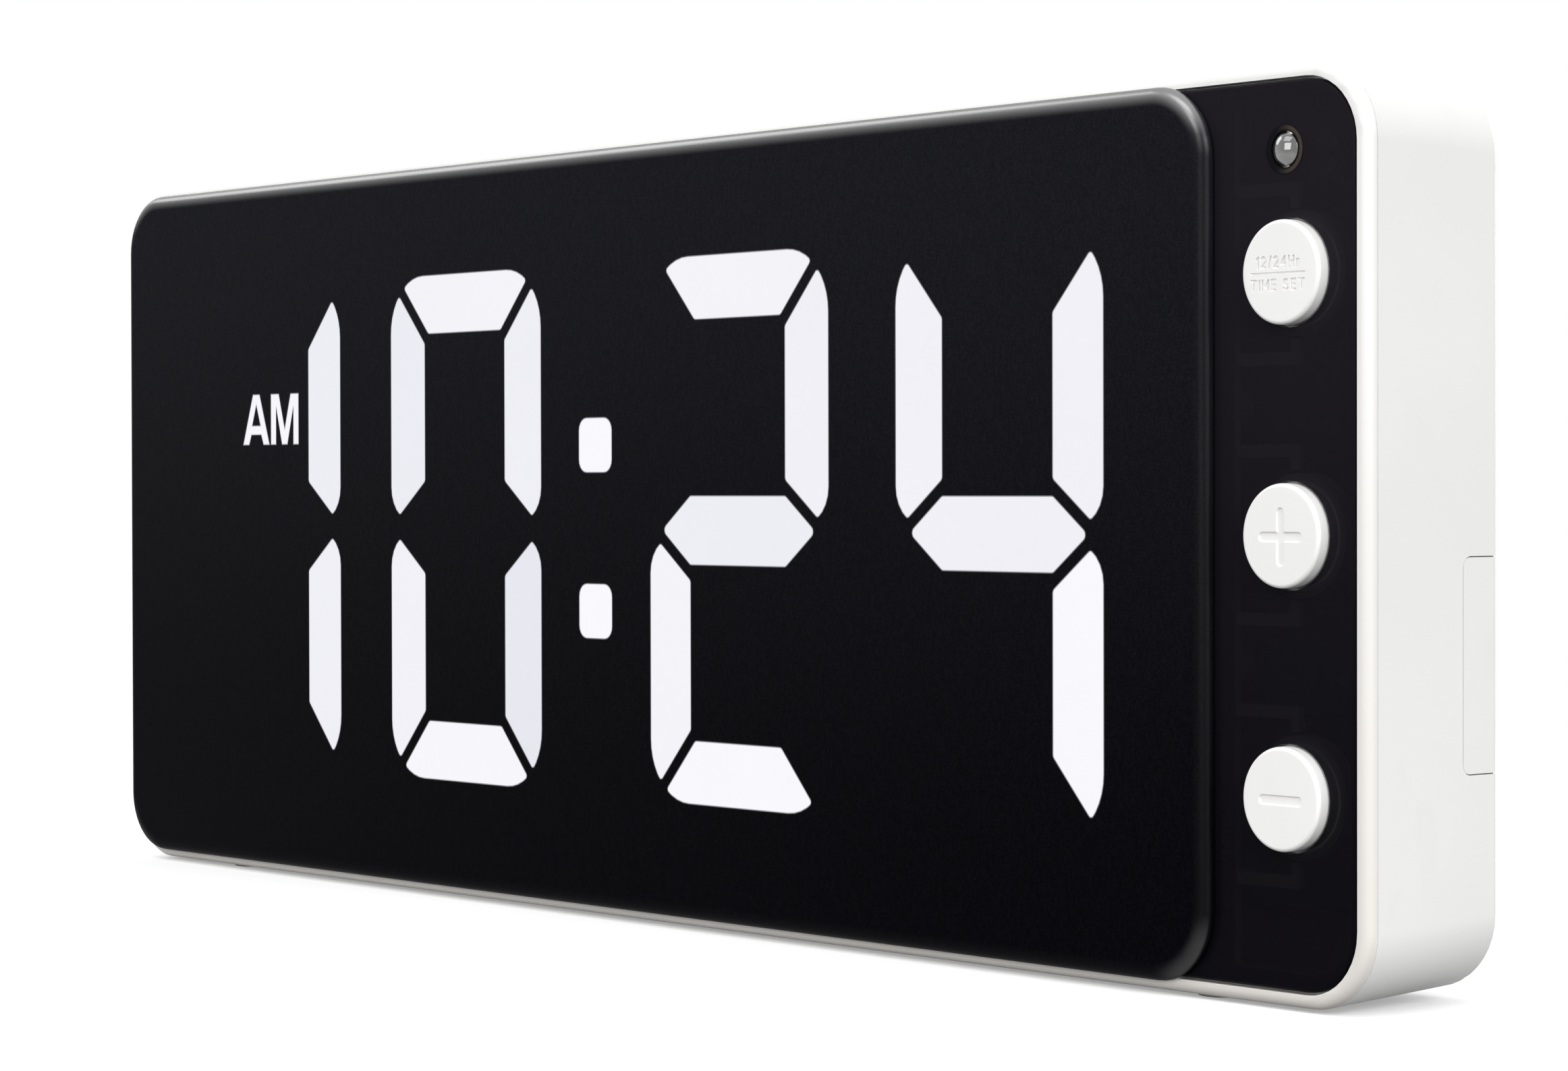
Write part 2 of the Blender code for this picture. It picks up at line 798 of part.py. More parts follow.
def build_display_lens():
    xs = (-half_width + lens_left_reveal, lens_right)
    zs = (base_z + lens_reveal, top_z - lens_reveal)
    bm = bmesh.new()
    rounded_block(bm, xs, (0.0, lens_proud), zs, lens_corner, 12)
    round_rim(bm, 0.0, lens_edge, 6)
    lens = from_bmesh("display_lens", bm, lens_black)
    bm = bmesh.new()
    block(bm, grown(window_xs, -gap), (lens_proud - 0.0004, lens_proud + lens_step), grown(window_zs, -gap))
    return boolean(lens, from_bmesh("lens_step_form", bm), "UNION")


def digit_middles():
    inner = colon_gap / 2 + digit_width / 2
    offsets = (-inner - digit_pitch, -inner, inner, inner + digit_pitch)
    return [display_middle + offset for offset in offsets]


def segment_corners():
    """The seven segments of a digit about its own centre, as corner lists with their radii.

    The four corners are mitred with an even gap, and the middle bar has pointed ends.
    """
    half_w = digit_width / 2
    half_h = digit_height / 2
    in_x = half_w - upright_width
    in_z = half_h - level_width
    mitre = Vector((upright_width, level_width)).normalized()
    shift_x = mitre_gap / 2 / mitre.y
    shift_z = mitre_gap / 2 / mitre.x
    top = [
        (-in_x + shift_x, in_z),
        (in_x - shift_x, in_z),
        (half_w - shift_x, half_h),
        (-half_w + shift_x, half_h),
    ]
    tip_z = 0.0002
    side = [
        (half_w, tip_z),
        (half_w, half_h - shift_z),
        (in_x, in_z - shift_z),
        (in_x, tip_z + tip_rise * upright_width),
    ]
    bar_half = middle_width / 2
    tip_x = half_w - mitre_gap * 1.55
    bar_x = tip_x - bar_half / tip_rise
    bar = [
        (-tip_x, 0.0),
        (-bar_x, -bar_half),
        (bar_x, -bar_half),
        (tip_x, 0.0),
        (bar_x, bar_half),
        (-bar_x, bar_half),
    ]
    soft = (inner_radius, inner_radius, tip_radius, tip_radius)
    upright = (tip_radius, tip_radius, inner_radius, inner_radius)
    ends = (inner_radius, tip_radius / 2, tip_radius / 2, inner_radius, tip_radius / 2, tip_radius / 2)

    def flip(points, sx, sz):
        turned_points = [(sx * x, sz * z) for x, z in points]
        return turned_points if sx * sz > 0 else turned_points[::-1]

    def flip_radii(radii, sx, sz):
        return radii if sx * sz > 0 else radii[::-1]

    shapes = [(top, soft), (flip(top, 1, -1), flip_radii(soft, 1, -1)), (bar, ends)]
    for sx in (1, -1):
        for sz in (1, -1):
            shapes.append((flip(side, sx, sz), flip_radii(upright, sx, sz)))
    return shapes


def lit_outlines():
    """Each opening that shines: (outline, centre), for the digits, the colon and the two signs."""
    openings = []
    for middle in digit_middles():
        for corners, radii in segment_corners():
            moved = [(x + middle, z + middle_z) for x, z in corners]
            openings.append(fillet_outline(moved, radii))
    for side in (1, -1):
        dot = rectangle(display_middle, middle_z + side * colon_rise, colon_size, colon_size)
        openings.append(fillet_outline(dot, [colon_radius] * 4))
    for side in (1, -1):
        middle = digit_middles()[0] + sign_shift
        sign = rectangle(middle, middle_z + side * sign_rise, sign_width, sign_height)
        openings.append(fillet_outline(sign, [inner_radius] * 4, 1))
    return openings


def outline_middle(outline):
    return sum((Vector(point) for point in outline), Vector((0.0, 0.0))) / len(outline)


def build_film():
    edge = [
        (window_xs[0] + gap, window_zs[0] + gap),
        (window_xs[1] - gap, window_zs[0] + gap),
        (window_xs[1] - gap, window_zs[1] - gap),
        (window_xs[0] + gap, window_zs[1] - gap),
    ]
    depths = (film_front, film_front + film_thickness)
    return flat_plate("segment_film", [edge] + lit_outlines(), depths, film_print)


def build_reflector():
    """A light box: one cup behind each opening, wide at the film and narrow at the board."""
    bm = bmesh.new()
    block(bm, grown(window_xs, -gap), (reflector_front, reflector_back), grown(window_zs, -gap))
    reflector = from_bmesh("segment_reflector", bm, light_box_white)
    bm = bmesh.new()
    over = 0.0002
    slope = (1.0 - cup_floor) / reflector_depth
    for outline in lit_outlines():
        middle = outline_middle(outline)
        loops = []
        for depth in (reflector_front - over, reflector_back + over):
            scale = 1.0 - slope * (depth - reflector_front)
            ring = [middle + (Vector(point) - middle) * scale for point in outline]
            loops.append([bm.verts.new((x, at_depth(depth), z)) for x, z in ring])
        bm.faces.new(loops[0])
        bm.faces.new(loops[1])
        edges = [bm.edges.get((loop[i - 1], loop[i])) for loop in loops for i in range(len(loop))]
        bmesh.ops.bridge_loops(bm, edges=edges)
    return boolean(reflector, from_bmesh("reflector_cups", bm))


def build_display_board():
    places = display_screw_places()
    xs = (places[0][0] - 0.0026, places[1][0] + 0.0022)
    bm = bmesh.new()
    block(bm, xs, (board_front, board_back), grown(window_zs, 0.0004))
    board = from_bmesh("display_board", bm, board_green)
    bm = bmesh.new()
    for outline in lit_outlines():
        middle = outline_middle(outline)
        block(
            bm,
            grown((middle.x, middle.x), chip_size[0] / 2),
            (board_front - chip_size[1], board_front + 0.0003),
            grown((middle.y, middle.y), chip_size[2] / 2),
        )
    boolean(board, from_bmesh("led_chips", bm), "UNION")
    bm = bmesh.new()
    for x, z in places:
        rod(bm, x, z, (board_front - 0.0010, board_back + 0.0010), board_screw_radius + gap, 12)
    return boolean(board, from_bmesh("display_board_holes", bm))


# Controls on the front


def build_control_panel():
    bm = bmesh.new()
    block(bm, panel_xs, (panel_front, panel_back), panel_zs)
    one_sided_round(bm, panel_corner, corner_steps, True)
    round_rim(bm, panel_front, 0.0003, 2)
    panel = from_bmesh("control_panel", bm, panel_smoke)
    bm = bmesh.new()
    for z in button_zs:
        rod(bm, button_x, z, (panel_front - 0.0010, panel_back + 0.0010), button_radius + gap, 32)
    boolean(panel, from_bmesh("button_holes", bm))
    bm = bmesh.new()
    rise = (sensor_flange - sensor_hole) / panel_thickness
    over = 0.0005
    rod(
        bm,
        sensor_x,
        sensor_z,
        (panel_front - over, panel_back + over),
        sensor_hole - rise * over,
        24,
        sensor_flange + rise * over,
    )
    return boolean(panel, from_bmesh("sensor_hole_cut", bm))


def build_buttons():
    """Hollow caps with a flange behind the panel and a stem over the switch."""
    names = ("time_set_button", "plus_button", "minus_button")
    inner = button_radius - button_skin + 0.0004
    floor = button_front + button_skin
    rear = flange_front + flange_depth
    profile = [
        (0.0, button_front),
        (button_radius - button_edge, button_front),
        (button_radius - 0.3 * button_edge, button_front + 0.3 * button_edge),
        (button_radius, button_front + button_edge),
        (button_radius, flange_front),
        (flange_radius, flange_front),
        (flange_radius, rear),
        (inner, rear),
        (inner, floor),
        (stem_radius, floor),
        (stem_radius, stem_end),
        (0.0, stem_end),
    ]
    heights = [(radius, -at_depth(depth)) for radius, depth in profile]
    for name, z in zip(names, button_zs):
        turned(name, heights, white_button, (button_x, 0.0, z))


def build_switches():
    """A low tact switch behind each button, with its plunger as a piece of its own."""
    rows = list(zip(("upper", "middle", "lower"), button_zs))
    body_front = board_front - gap - switch_height
    for row, z in rows:
        bm = bmesh.new()
        half = switch_body / 2
        block(
            bm, grown((button_x, button_x), half), (body_front, board_front - gap), grown((z, z), half)
        )
        body = from_bmesh(f"switch_{row}", bm, chip_black)
        bm = bmesh.new()
        rod(bm, button_x, z, (body_front - 0.0005, body_front + 0.0014), plunger_radius + gap / 2, 16)
        boolean(body, from_bmesh(f"switch_bore_{row}", bm))
        tip = stem_end + gap
        tail = body_front + 0.0014 - gap - button_travel
        profile = [(0.0, tip), (plunger_radius, tip), (plunger_radius, tail), (0.0, tail)]
        heights = [(radius, -at_depth(depth)) for radius, depth in profile]
        turned(f"switch_plunger_{row}", heights, bright_tin, (button_x, 0.0, z), "front", 16)


def prism(bm, outline, low, high):
    """Adds a solid over an outline of X and depth, between two heights."""
    face = bm.faces.new([bm.verts.new((x, at_depth(depth), low)) for x, depth in outline])
    new = bmesh.ops.extrude_face_region(bm, geom=[face])["geom"]
    lifted = [item for item in new if isinstance(item, bmesh.types.BMVert)]
    bmesh.ops.translate(bm, verts=lifted, vec=(0.0, 0.0, high - low))


def build_button_springs():
    """A rail behind the bezel with two arms for each button.

    Each arm cranks forward in the control window and turns towards the button's flange.
    """
    rear = (bezel_back_depth + gap, bezel_back_depth + gap + arm_depth)
    front = (panel_back + gap, panel_back + gap + arm_front_depth)
    rail_right = rail_left + rail_width
    half = arm_width / 2
    end = arm_offset + half
    bm = bmesh.new()
    block(bm, (rail_left, rail_right), rear, (button_zs[2] - end, button_zs[0] + end))
    springs = from_bmesh("button_springs", bm, white_button)
    root = rail_right - 0.0005
    crank = bar_right + 2 * gap
    plan = [
        (root, rear[0]),
        (crank, rear[0]),
        (crank, front[0]),
        (leg_x + half, front[0]),
        (leg_x + half, front[1]),
        (crank + arm_depth, front[1]),
        (crank + arm_depth, rear[1]),
        (root, rear[1]),
    ]
    bm = bmesh.new()
    for z in button_zs:
        for side in (1, -1):
            middle = z + side * arm_offset
            prism(bm, plan, middle - half, middle + half)
    boolean(springs, from_bmesh("spring_arms", bm), "UNION")
    near = math.sqrt(flange_radius**2 - (abs(leg_x - button_x) - half) ** 2) + gap
    bm = bmesh.new()
    for z in button_zs:
        for side in (1, -1):
            heights = sorted((z + side * near, z + side * arm_offset))
            block(bm, grown((leg_x, leg_x), half - 0.0001), grown(front, -0.0001), heights)
    boolean(springs, from_bmesh("spring_legs", bm), "UNION")
    bm = bmesh.new()
    for z in rail_peg_zs():
        rod(bm, rail_left + rail_width / 2, z, grown(rear, 0.0005), peg_radius + gap / 2, 10)
    return boolean(springs, from_bmesh("spring_peg_holes", bm))


def build_sensor():
    tip = panel_front - sensor_proud
    centre = tip + sensor_radius
    steps = 6
    dome = [
        (sensor_radius * math.sin(turn), centre - sensor_radius * math.cos(turn))
        for turn in (math.pi / 2 * step / steps for step in range(steps + 1))
    ]
    foot = board_front - gap
    profile = dome + [
        (sensor_radius, foot - 0.0010),
        (sensor_flange, foot - 0.0010),
        (sensor_flange, foot),
        (0.0, foot),
    ]
    heights = [(radius, -at_depth(depth)) for radius, depth in profile]
    return turned("light_sensor", heights, clear_epoxy, (sensor_x, 0.0, sensor_z), "front", 24)


def build_control_board():
    low = middle_z - control_board_half
    high = middle_z + control_board_half
    top = sensor_z + control_board_over_sensor
    notch = case_screw_xs[2] + case_boss_radius + 0.0026
    outline = [
        (control_board_left, low),
        (control_board_right, low),
        (control_board_right, top),
        (notch, top),
        (notch, high),
        (control_board_left, high),
    ]
    holes = [
        [
            (x + 1.35 * board_screw_radius * math.cos(turn), z + 1.35 * board_screw_radius * math.sin(turn))
            for turn in (math.tau * step / 12 for step in range(12))
        ]
        for x, z in control_screw_places()
    ]
    return flat_plate("control_board", [outline] + holes, (board_front, board_back), board_green)


# Controls on the back


def build_alarm_controls():
    z = base_z + alarm_button_z
    switch_back = board_back + gap + switch_height
    bm = bmesh.new()
    half = switch_body / 2
    block(bm, grown((alarm_x, alarm_x), half), (board_back + gap, switch_back), grown((z, z), half))
    body = from_bmesh("alarm_set_switch", bm, chip_black)
    bm = bmesh.new()
    rod(bm, alarm_x, z, (switch_back - 0.0014, switch_back + 0.0005), plunger_radius + gap / 2, 16)
    boolean(body, from_bmesh("alarm_switch_bore", bm))
    tail = switch_back - 0.0014 + gap + button_travel
    tip = switch_back + plunger_height
    profile = [(0.0, tip), (plunger_radius, tip), (plunger_radius, tail), (0.0, tail)]
    heights = [(radius, at_depth(depth)) for radius, depth in profile]
    turned("alarm_set_plunger", heights, bright_tin, (alarm_x, 0.0, z), "back", 16)

    inside = case_depth - wall
    cap = case_depth - 0.0002
    collar = inside - 0.0050 - gap
    profile = [
        (0.0, cap),
        (alarm_button_radius - 0.0004, cap),
        (alarm_button_radius, cap - 0.0004),
        (alarm_button_radius, collar),
        (alarm_button_radius + 0.0012, collar),
        (alarm_button_radius + 0.0012, collar - 0.0010),
        (stem_radius, collar - 0.0010),
        (stem_radius, tip + gap),
        (0.0, tip + gap),
    ]
    heights = [(radius, at_depth(depth)) for radius, depth in profile]
    turned("alarm_set_button", heights, white_button, (alarm_x, 0.0, z), "back", 24)

    z = base_z + alarm_switch_z
    bm = bmesh.new()
    body_back = board_back + gap + 0.0042
    block(bm, grown((alarm_x, alarm_x), 0.0045), (board_back + gap, body_back), grown((z, z), 0.0023))
    slide_body = from_bmesh("alarm_slide_switch", bm, steel)
    bm = bmesh.new()
    slot = knob_travel / 2 + 0.0010 + gap
    block(
        bm, grown((alarm_x, alarm_x), slot), (body_back - 0.0020, body_back + 0.0005), grown((z, z), 0.0010 + gap)
    )
    boolean(slide_body, from_bmesh("slide_switch_slot", bm))

    off_x = alarm_x - knob_travel / 2
    origin = (off_x, at_depth(case_depth), z)
    bm = bmesh.new()
    rounded_block(
        bm,
        grown((off_x, off_x), knob_width / 2),
        (inside - gap - 0.0006, case_depth - 0.0002),
        grown((z, z), knob_height / 2),
        0.0006,
        2,
    )
    knob = from_bmesh("alarm_switch_knob", bm, white_button, origin)
    bm = bmesh.new()
    block(
        bm,
        grown((off_x, off_x), knob_width / 2 + knob_travel / 2 + 0.0012),
        (inside - gap - 0.0012, inside - gap),
        grown((z, z), knob_height / 2 + 0.0012),
    )
    boolean(knob, from_bmesh("knob_skirt", bm), "UNION")
    bm = bmesh.new()
    block(bm, grown((off_x, off_x), 0.0010), (body_back - 0.0016, inside - gap - 0.0008), grown((z, z), 0.0010))
    boolean(knob, from_bmesh("knob_stem", bm), "UNION")


def build_buzzer():
    inside = case_depth - wall
    back = inside - 0.0006 - gap
    front = back - buzzer_depth
    profile = [
        (0.0, back - 0.0006),
        (0.0030, back - 0.0006),
        (0.0030, back),
        (buzzer_radius, back),
        (buzzer_radius, front),
        (0.0, front),
    ]
    heights = [(radius, at_depth(depth)) for radius, depth in profile]
    turned("buzzer", heights, chip_black, (sound_x, 0.0, sound_z), "back", 28)


def build_board_parts():
    back = board_back + gap
    bm = bmesh.new()
    rounded_block(bm, (0.0560, 0.0680), (back, back + 0.0018), (0.0760, 0.0850), 0.0006, 2)
    from_bmesh("clock_chip", bm, chip_black)
    bm = bmesh.new()
    rounded_block(bm, (0.0420, 0.0530), (back, back + 0.0035), (0.0900, 0.0946), 0.0022, 4)
    from_bmesh("quartz_crystal", bm, bright_tin)
    profile = [(0.0, back + 0.0085), (0.0030, back + 0.0085), (0.0034, back + 0.0080), (0.0034, back), (0.0, back)]
    heights = [(radius, at_depth(depth)) for radius, depth in profile]
    turned("capacitor", heights, cell_jacket, (0.0620, 0.0, 0.0930), "back", 20)


def build_ribbon():
    """A short flat cable that arches from board to board."""
    left = display_screw_places()[1][0] - ribbon_laps[0]
    right = control_board_left + ribbon_laps[1]
    thickness = 0.0004
    steps = 10
    mid = (left + right) / 2
    reach = (right - left) / 2
    foot = board_back + gap
    rise = 0.0042

    def arc(offset):
        return [
            (
                mid - (reach - offset) * math.cos(math.pi * step / steps),
                foot + (rise - offset) * math.sin(math.pi * step / steps),
            )
            for step in range(steps + 1)
        ]

    outline = arc(0.0) + arc(thickness)[::-1]
    bm = bmesh.new()
    prism(bm, outline, base_z + 0.0600, base_z + 0.0680)
    from_bmesh("board_ribbon", bm, ribbon_grey)


# Battery bay


def row_zs():
    return (door_z + row_offset, door_z - row_offset)


def tongue_zs():
    return (door_z + tongue_spread / 2, door_z - tongue_spread / 2)


def tongue_depths():
    return (case_depth - wall - gap - 0.0010, case_depth - wall - gap)


def build_battery_door():
    """A cover plate whose right end wraps round the case side, with two tongues at its left end."""
    zs = grown((door_z, door_z), door_half)
    origin = ((door_left + half_width) / 2, at_depth(case_depth), door_z)
    bm = bmesh.new()
    case_form(bm, seam + seam_gap, case_depth)
    round_rim(bm, case_depth, back_edge, 3)
    form = from_bmesh("door_outer_form", bm)
    bm = bmesh.new()
    block(bm, (door_left, half_width + 0.0010), (door_inside, case_depth + 0.0010), zs)
    door = from_bmesh("battery_door", bm, white_case, origin)
    bm = bmesh.new()
    block(bm, (lip_inside, half_width + 0.0010), (case_depth - door_lip, case_depth + 0.0010), zs)
    front = at_depth(case_depth - door_lip)
    corners = edges_where(bm.verts, lambda a, b: along(0)(a, b) and abs(a.y - front) < 1e-7)
    bevel(bm, corners, door_lip_corner, 3)
    boolean(door, from_bmesh("door_lip_form", bm), "UNION")
    boolean(door, form, "INTERSECT")
    bm = bmesh.new()
    top = door_inside + 0.0004
    for z in tongue_zs():
        spread = grown((z, z), tongue_width / 2)
        block(bm, (door_left - tongue_reach, door_left + 0.0018), tongue_depths(), spread)
    boolean(door, from_bmesh("door_tongues", bm), "UNION")
    bm = bmesh.new()
    for z in tongue_zs():
        spread = grown((z, z), tongue_width / 2 - 0.0002)
        block(bm, (door_left + 0.0004, door_left + 0.0016), (tongue_depths()[0] + 0.0002, top), spread)
    boolean(door, from_bmesh("tongue_roots", bm), "UNION")
    bm = bmesh.new()
    for step in range(grip_count):
        x = door_left + grip_start + step * grip_pitch
        block(
            bm,
            grown((x, x), grip_width / 2),
            (case_depth - grip_depth, case_depth + 0.0010),
            grown((door_z, door_z), grip_height / 2),
        )
    return boolean(door, from_bmesh("grip_grooves", bm))


def build_cells():
    """Two rows of two cells, which face opposite ways."""
    start = bay_left + contact_room
    jacket = cell_length - cell_nub
    profile = [
        (0.0, cell_length),
        (cell_nub_radius, cell_length),
        (cell_nub_radius, jacket),
        (cell_radius - 0.0004, jacket),
        (cell_radius, jacket - 0.0004),
        (cell_radius, 0.0004),
        (cell_radius - 0.0004, 0.0),
        (0.0, 0.0),
    ]
    rows = (("upper", row_zs()[0], "left"), ("lower", row_zs()[1], "right"))
    for row, z, facing in rows:
        for index, side in enumerate(("left", "right")):
            low = start + index * cell_length
            shortened = [(r, h - gap / 2 if h > jacket else max(h, gap / 2)) for r, h in profile]
            x = low if facing == "right" else low + cell_length
            turned(f"cell_{row}_{side}", shortened, cell_jacket, (x, at_depth(cell_depth), z), facing, 20)


def build_contacts():
    """Two end plates on the left, one bridge on the right, and a spring in front of each negative end."""
    plate_zs = 0.0046
    left_xs = (bay_left + gap, bay_left + gap + contact_plate)
    right_xs = (bay_right - gap - contact_plate, bay_right - gap)
    depths = (cell_depth - 0.0042, tongue_depths()[0] - gap)
    for name, z in (("contact_positive", row_zs()[0]), ("contact_negative", row_zs()[1])):
        bm = bmesh.new()
        block(bm, left_xs, depths, grown((z, z), plate_zs))
        plate = from_bmesh(name, bm, bright_tin)
        bm = bmesh.new()
        block(
            bm,
            (door_left - 0.0026, left_xs[1] - 0.0001),
            (cell_depth - 0.0017, cell_depth + 0.0017),
            grown((z, z), 0.0004),
        )
        boolean(plate, from_bmesh(f"{name}_tab", bm), "UNION")
    boss = from_positive_boss("contact_positive_boss", left_xs[1], 1, row_zs()[0])
    boolean(bpy.data.objects["contact_positive"], boss, "UNION")
    bm = bmesh.new()
    block(bm, right_xs, depths, (row_zs()[1] - plate_zs, row_zs()[0] + plate_zs))
    bridge = from_bmesh("contact_bridge", bm, bright_tin)
    boss = from_positive_boss("contact_bridge_boss", right_xs[0], -1, row_zs()[1])
    boolean(bridge, boss, "UNION")
    cells_left = bay_left + contact_room
    cells_right = bay_right - contact_room
    build_spring("spring_left", left_xs[1], cells_left, row_zs()[1])
    build_spring("spring_right", right_xs[0], cells_right, row_zs()[0])


def from_positive_boss(name, face_x, side, z):
    """The raised pad that meets a cell's nub."""
    reach = contact_room - gap - contact_plate - gap
    bm = bmesh.new()
    matrix = Matrix.Translation((face_x + side * (reach - 0.0001) / 2, at_depth(cell_depth), z))
    bmesh.ops.create_cone(
        bm,
        cap_ends=True,
        segments=16,
        radius1=0.0026,
        radius2=0.0026,
        depth=reach + 0.0001,
        matrix=matrix @ Matrix.Rotation(math.pi / 2, 4, "Y"),
    )
    return from_bmesh(name, bm)


def build_spring(name, plate_x, cell_x, z):
    """A conical coil between a plate and the flat end of a cell."""
    side = 1 if cell_x > plate_x else -1
    first = plate_x + side * (gap + spring_wire)
    last = cell_x - side * (spring_wire + gap / 2)
    per_turn = 12
    count = spring_turns * per_turn
    points = []
    for step in range(count + 1):
        share = step / count
        turn = math.tau * step / per_turn
        radius = 0.0031 - 0.0011 * share
        points.append(
            (
                first + (last - first) * share,
                at_depth(cell_depth) + radius * math.cos(turn),
                z + radius * math.sin(turn),
            )
        )
    tube(name, points, spring_wire, steel, 1)


def build_leads():
    """The two wires from the contacts to the display board."""
    start_x = door_left - 0.0026 - gap
    foot = at_depth(board_back + gap)
    for name, z, look in (
        ("lead_positive", row_zs()[0], wire_red),
        ("lead_negative", row_zs()[1], wire_black),
    ):
        begin = Vector((start_x, at_depth(cell_depth), z))
        end = Vector((start_x - 0.0120, foot, z + 0.0040))
        bend_a = begin + Vector((-0.0100, 0.0, 0.0))
        bend_b = end + Vector((0.0, 0.0070, 0.0))
        steps = 14
        points = []
        for step in range(steps + 1):
            t = step / steps
            u = 1.0 - t
            point = begin * u**3 + bend_a * (3 * u * u * t) + bend_b * (3 * u * t * t) + end * t**3
            points.append(tuple(point))
        tube(name, points, 0.0006, look, 1)


# Screws


def screw_profile(head_radius, head_depth, shank_radius, length):
    """Measured from under the head: the head is above zero and the shank below it."""
    return [
        (0.0, head_depth),
        (head_radius * 0.75, head_depth),
        (head_radius, head_depth * 0.6),
        (head_radius, 0.0),
        (shank_radius, 0.0),
        (shank_radius, -length + shank_radius),
        (0.0, -length),
    ]


def build_screws():
    columns = ("left", "middle", "right")
    rows = ("bottom", "top")
    names = [f"case_screw_{row}_{column}" for row in rows for column in columns]
    seat = case_seat + gap
    profile = screw_profile(screw_head_radius, screw_head_depth, screw_radius, seat - screw_point)
    for name, (x, z) in zip(names, case_screw_places()):
        turned(name, profile, steel, (x, at_depth(seat), z), "back", 12)
    seat = board_back + gap
    length = seat - bezel_back_depth + 0.0010
    profile = screw_profile(board_head_radius, board_head_depth, board_screw_radius, length)
    names = [f"board_screw_{row}_{side}" for row in rows for side in ("left", "right")]
    names += ["control_screw_bottom", "control_screw_top"]
    for name, (x, z) in zip(names, display_screw_places() + control_screw_places()):
        turned(name, profile, steel, (x, at_depth(seat), z), "back", 12)


build_front_bezel()
build_rear_case()
build_feet()
build_display_lens()
build_film()
build_reflector()
build_display_board()
build_control_panel()
build_buttons()
build_switches()
build_button_springs()
build_sensor()
build_control_board()
build_alarm_controls()
build_buzzer()
build_board_parts()
build_ribbon()
build_battery_door()
build_cells()
build_contacts()
build_leads()
build_screws()
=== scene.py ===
import math

import bmesh
import bpy
from mathutils import Matrix, Vector


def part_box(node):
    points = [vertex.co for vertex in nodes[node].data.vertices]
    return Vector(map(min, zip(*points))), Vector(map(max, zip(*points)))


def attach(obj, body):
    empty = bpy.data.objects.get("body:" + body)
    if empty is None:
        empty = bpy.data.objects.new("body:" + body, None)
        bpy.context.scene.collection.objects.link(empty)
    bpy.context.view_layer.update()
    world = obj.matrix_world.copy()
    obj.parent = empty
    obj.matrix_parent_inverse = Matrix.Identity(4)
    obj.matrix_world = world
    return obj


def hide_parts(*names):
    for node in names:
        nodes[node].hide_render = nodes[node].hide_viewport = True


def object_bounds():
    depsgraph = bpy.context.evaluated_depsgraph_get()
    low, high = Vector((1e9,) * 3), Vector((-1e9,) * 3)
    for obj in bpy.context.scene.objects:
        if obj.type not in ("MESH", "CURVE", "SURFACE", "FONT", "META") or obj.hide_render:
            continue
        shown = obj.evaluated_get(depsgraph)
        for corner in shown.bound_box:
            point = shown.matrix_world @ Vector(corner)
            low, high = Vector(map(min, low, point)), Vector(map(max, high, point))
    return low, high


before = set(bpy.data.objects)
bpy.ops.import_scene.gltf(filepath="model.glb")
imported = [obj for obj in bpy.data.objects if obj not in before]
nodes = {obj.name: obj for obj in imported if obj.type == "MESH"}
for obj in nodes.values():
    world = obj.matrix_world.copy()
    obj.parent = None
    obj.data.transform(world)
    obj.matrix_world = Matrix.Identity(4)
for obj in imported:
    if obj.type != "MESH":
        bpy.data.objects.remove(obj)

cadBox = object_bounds()
mm = 0.001
sliver = 0.001 * mm     # edges shorter than this are merged after a cut
seam = 0.002 * mm       # and corners of CAD facets nearer than this are one
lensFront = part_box("display_lens")[0].y
print("frame loaded:", len(nodes), "nodes")


# small helpers for shader trees
class Sock:
    # wraps one output socket, so that shader sums read as plain expressions
    def __init__(self, finish, out):
        self.finish = finish
        self.out = out

    def calc(self, operation, *values):
        return self.finish.node("ShaderNodeMath", {"operation": operation}, dict(enumerate(values)))

    def size(self):
        return self.calc("ABSOLUTE", self)

    def atLeast(self, other):
        return self.calc("MAXIMUM", self, other)

    def __add__(self, other):
        return self.calc("ADD", self, other)

    def __sub__(self, other):
        return self.calc("SUBTRACT", self, other)

    def __rsub__(self, other):
        return self.calc("SUBTRACT", other, self)

    def __mul__(self, other):
        return self.calc("MULTIPLY", self, other)

    def __pow__(self, other):
        return self.calc("POWER", self, other)

    __radd__ = __add__


socketNames = {
    "colour": "Base Color",
    "roughness": "Roughness",
    "metallic": "Metallic",
    "specular": "Specular IOR Level",
    "coat": "Coat Weight",
    "coatRoughness": "Coat Roughness",
    "coatIor": "Coat IOR",
    "alpha": "Alpha",
    "normal": "Normal",
    "glow": "Emission Color",
    "glowStrength": "Emission Strength",
    "ior": "IOR",
    "transmission": "Transmission Weight",
}


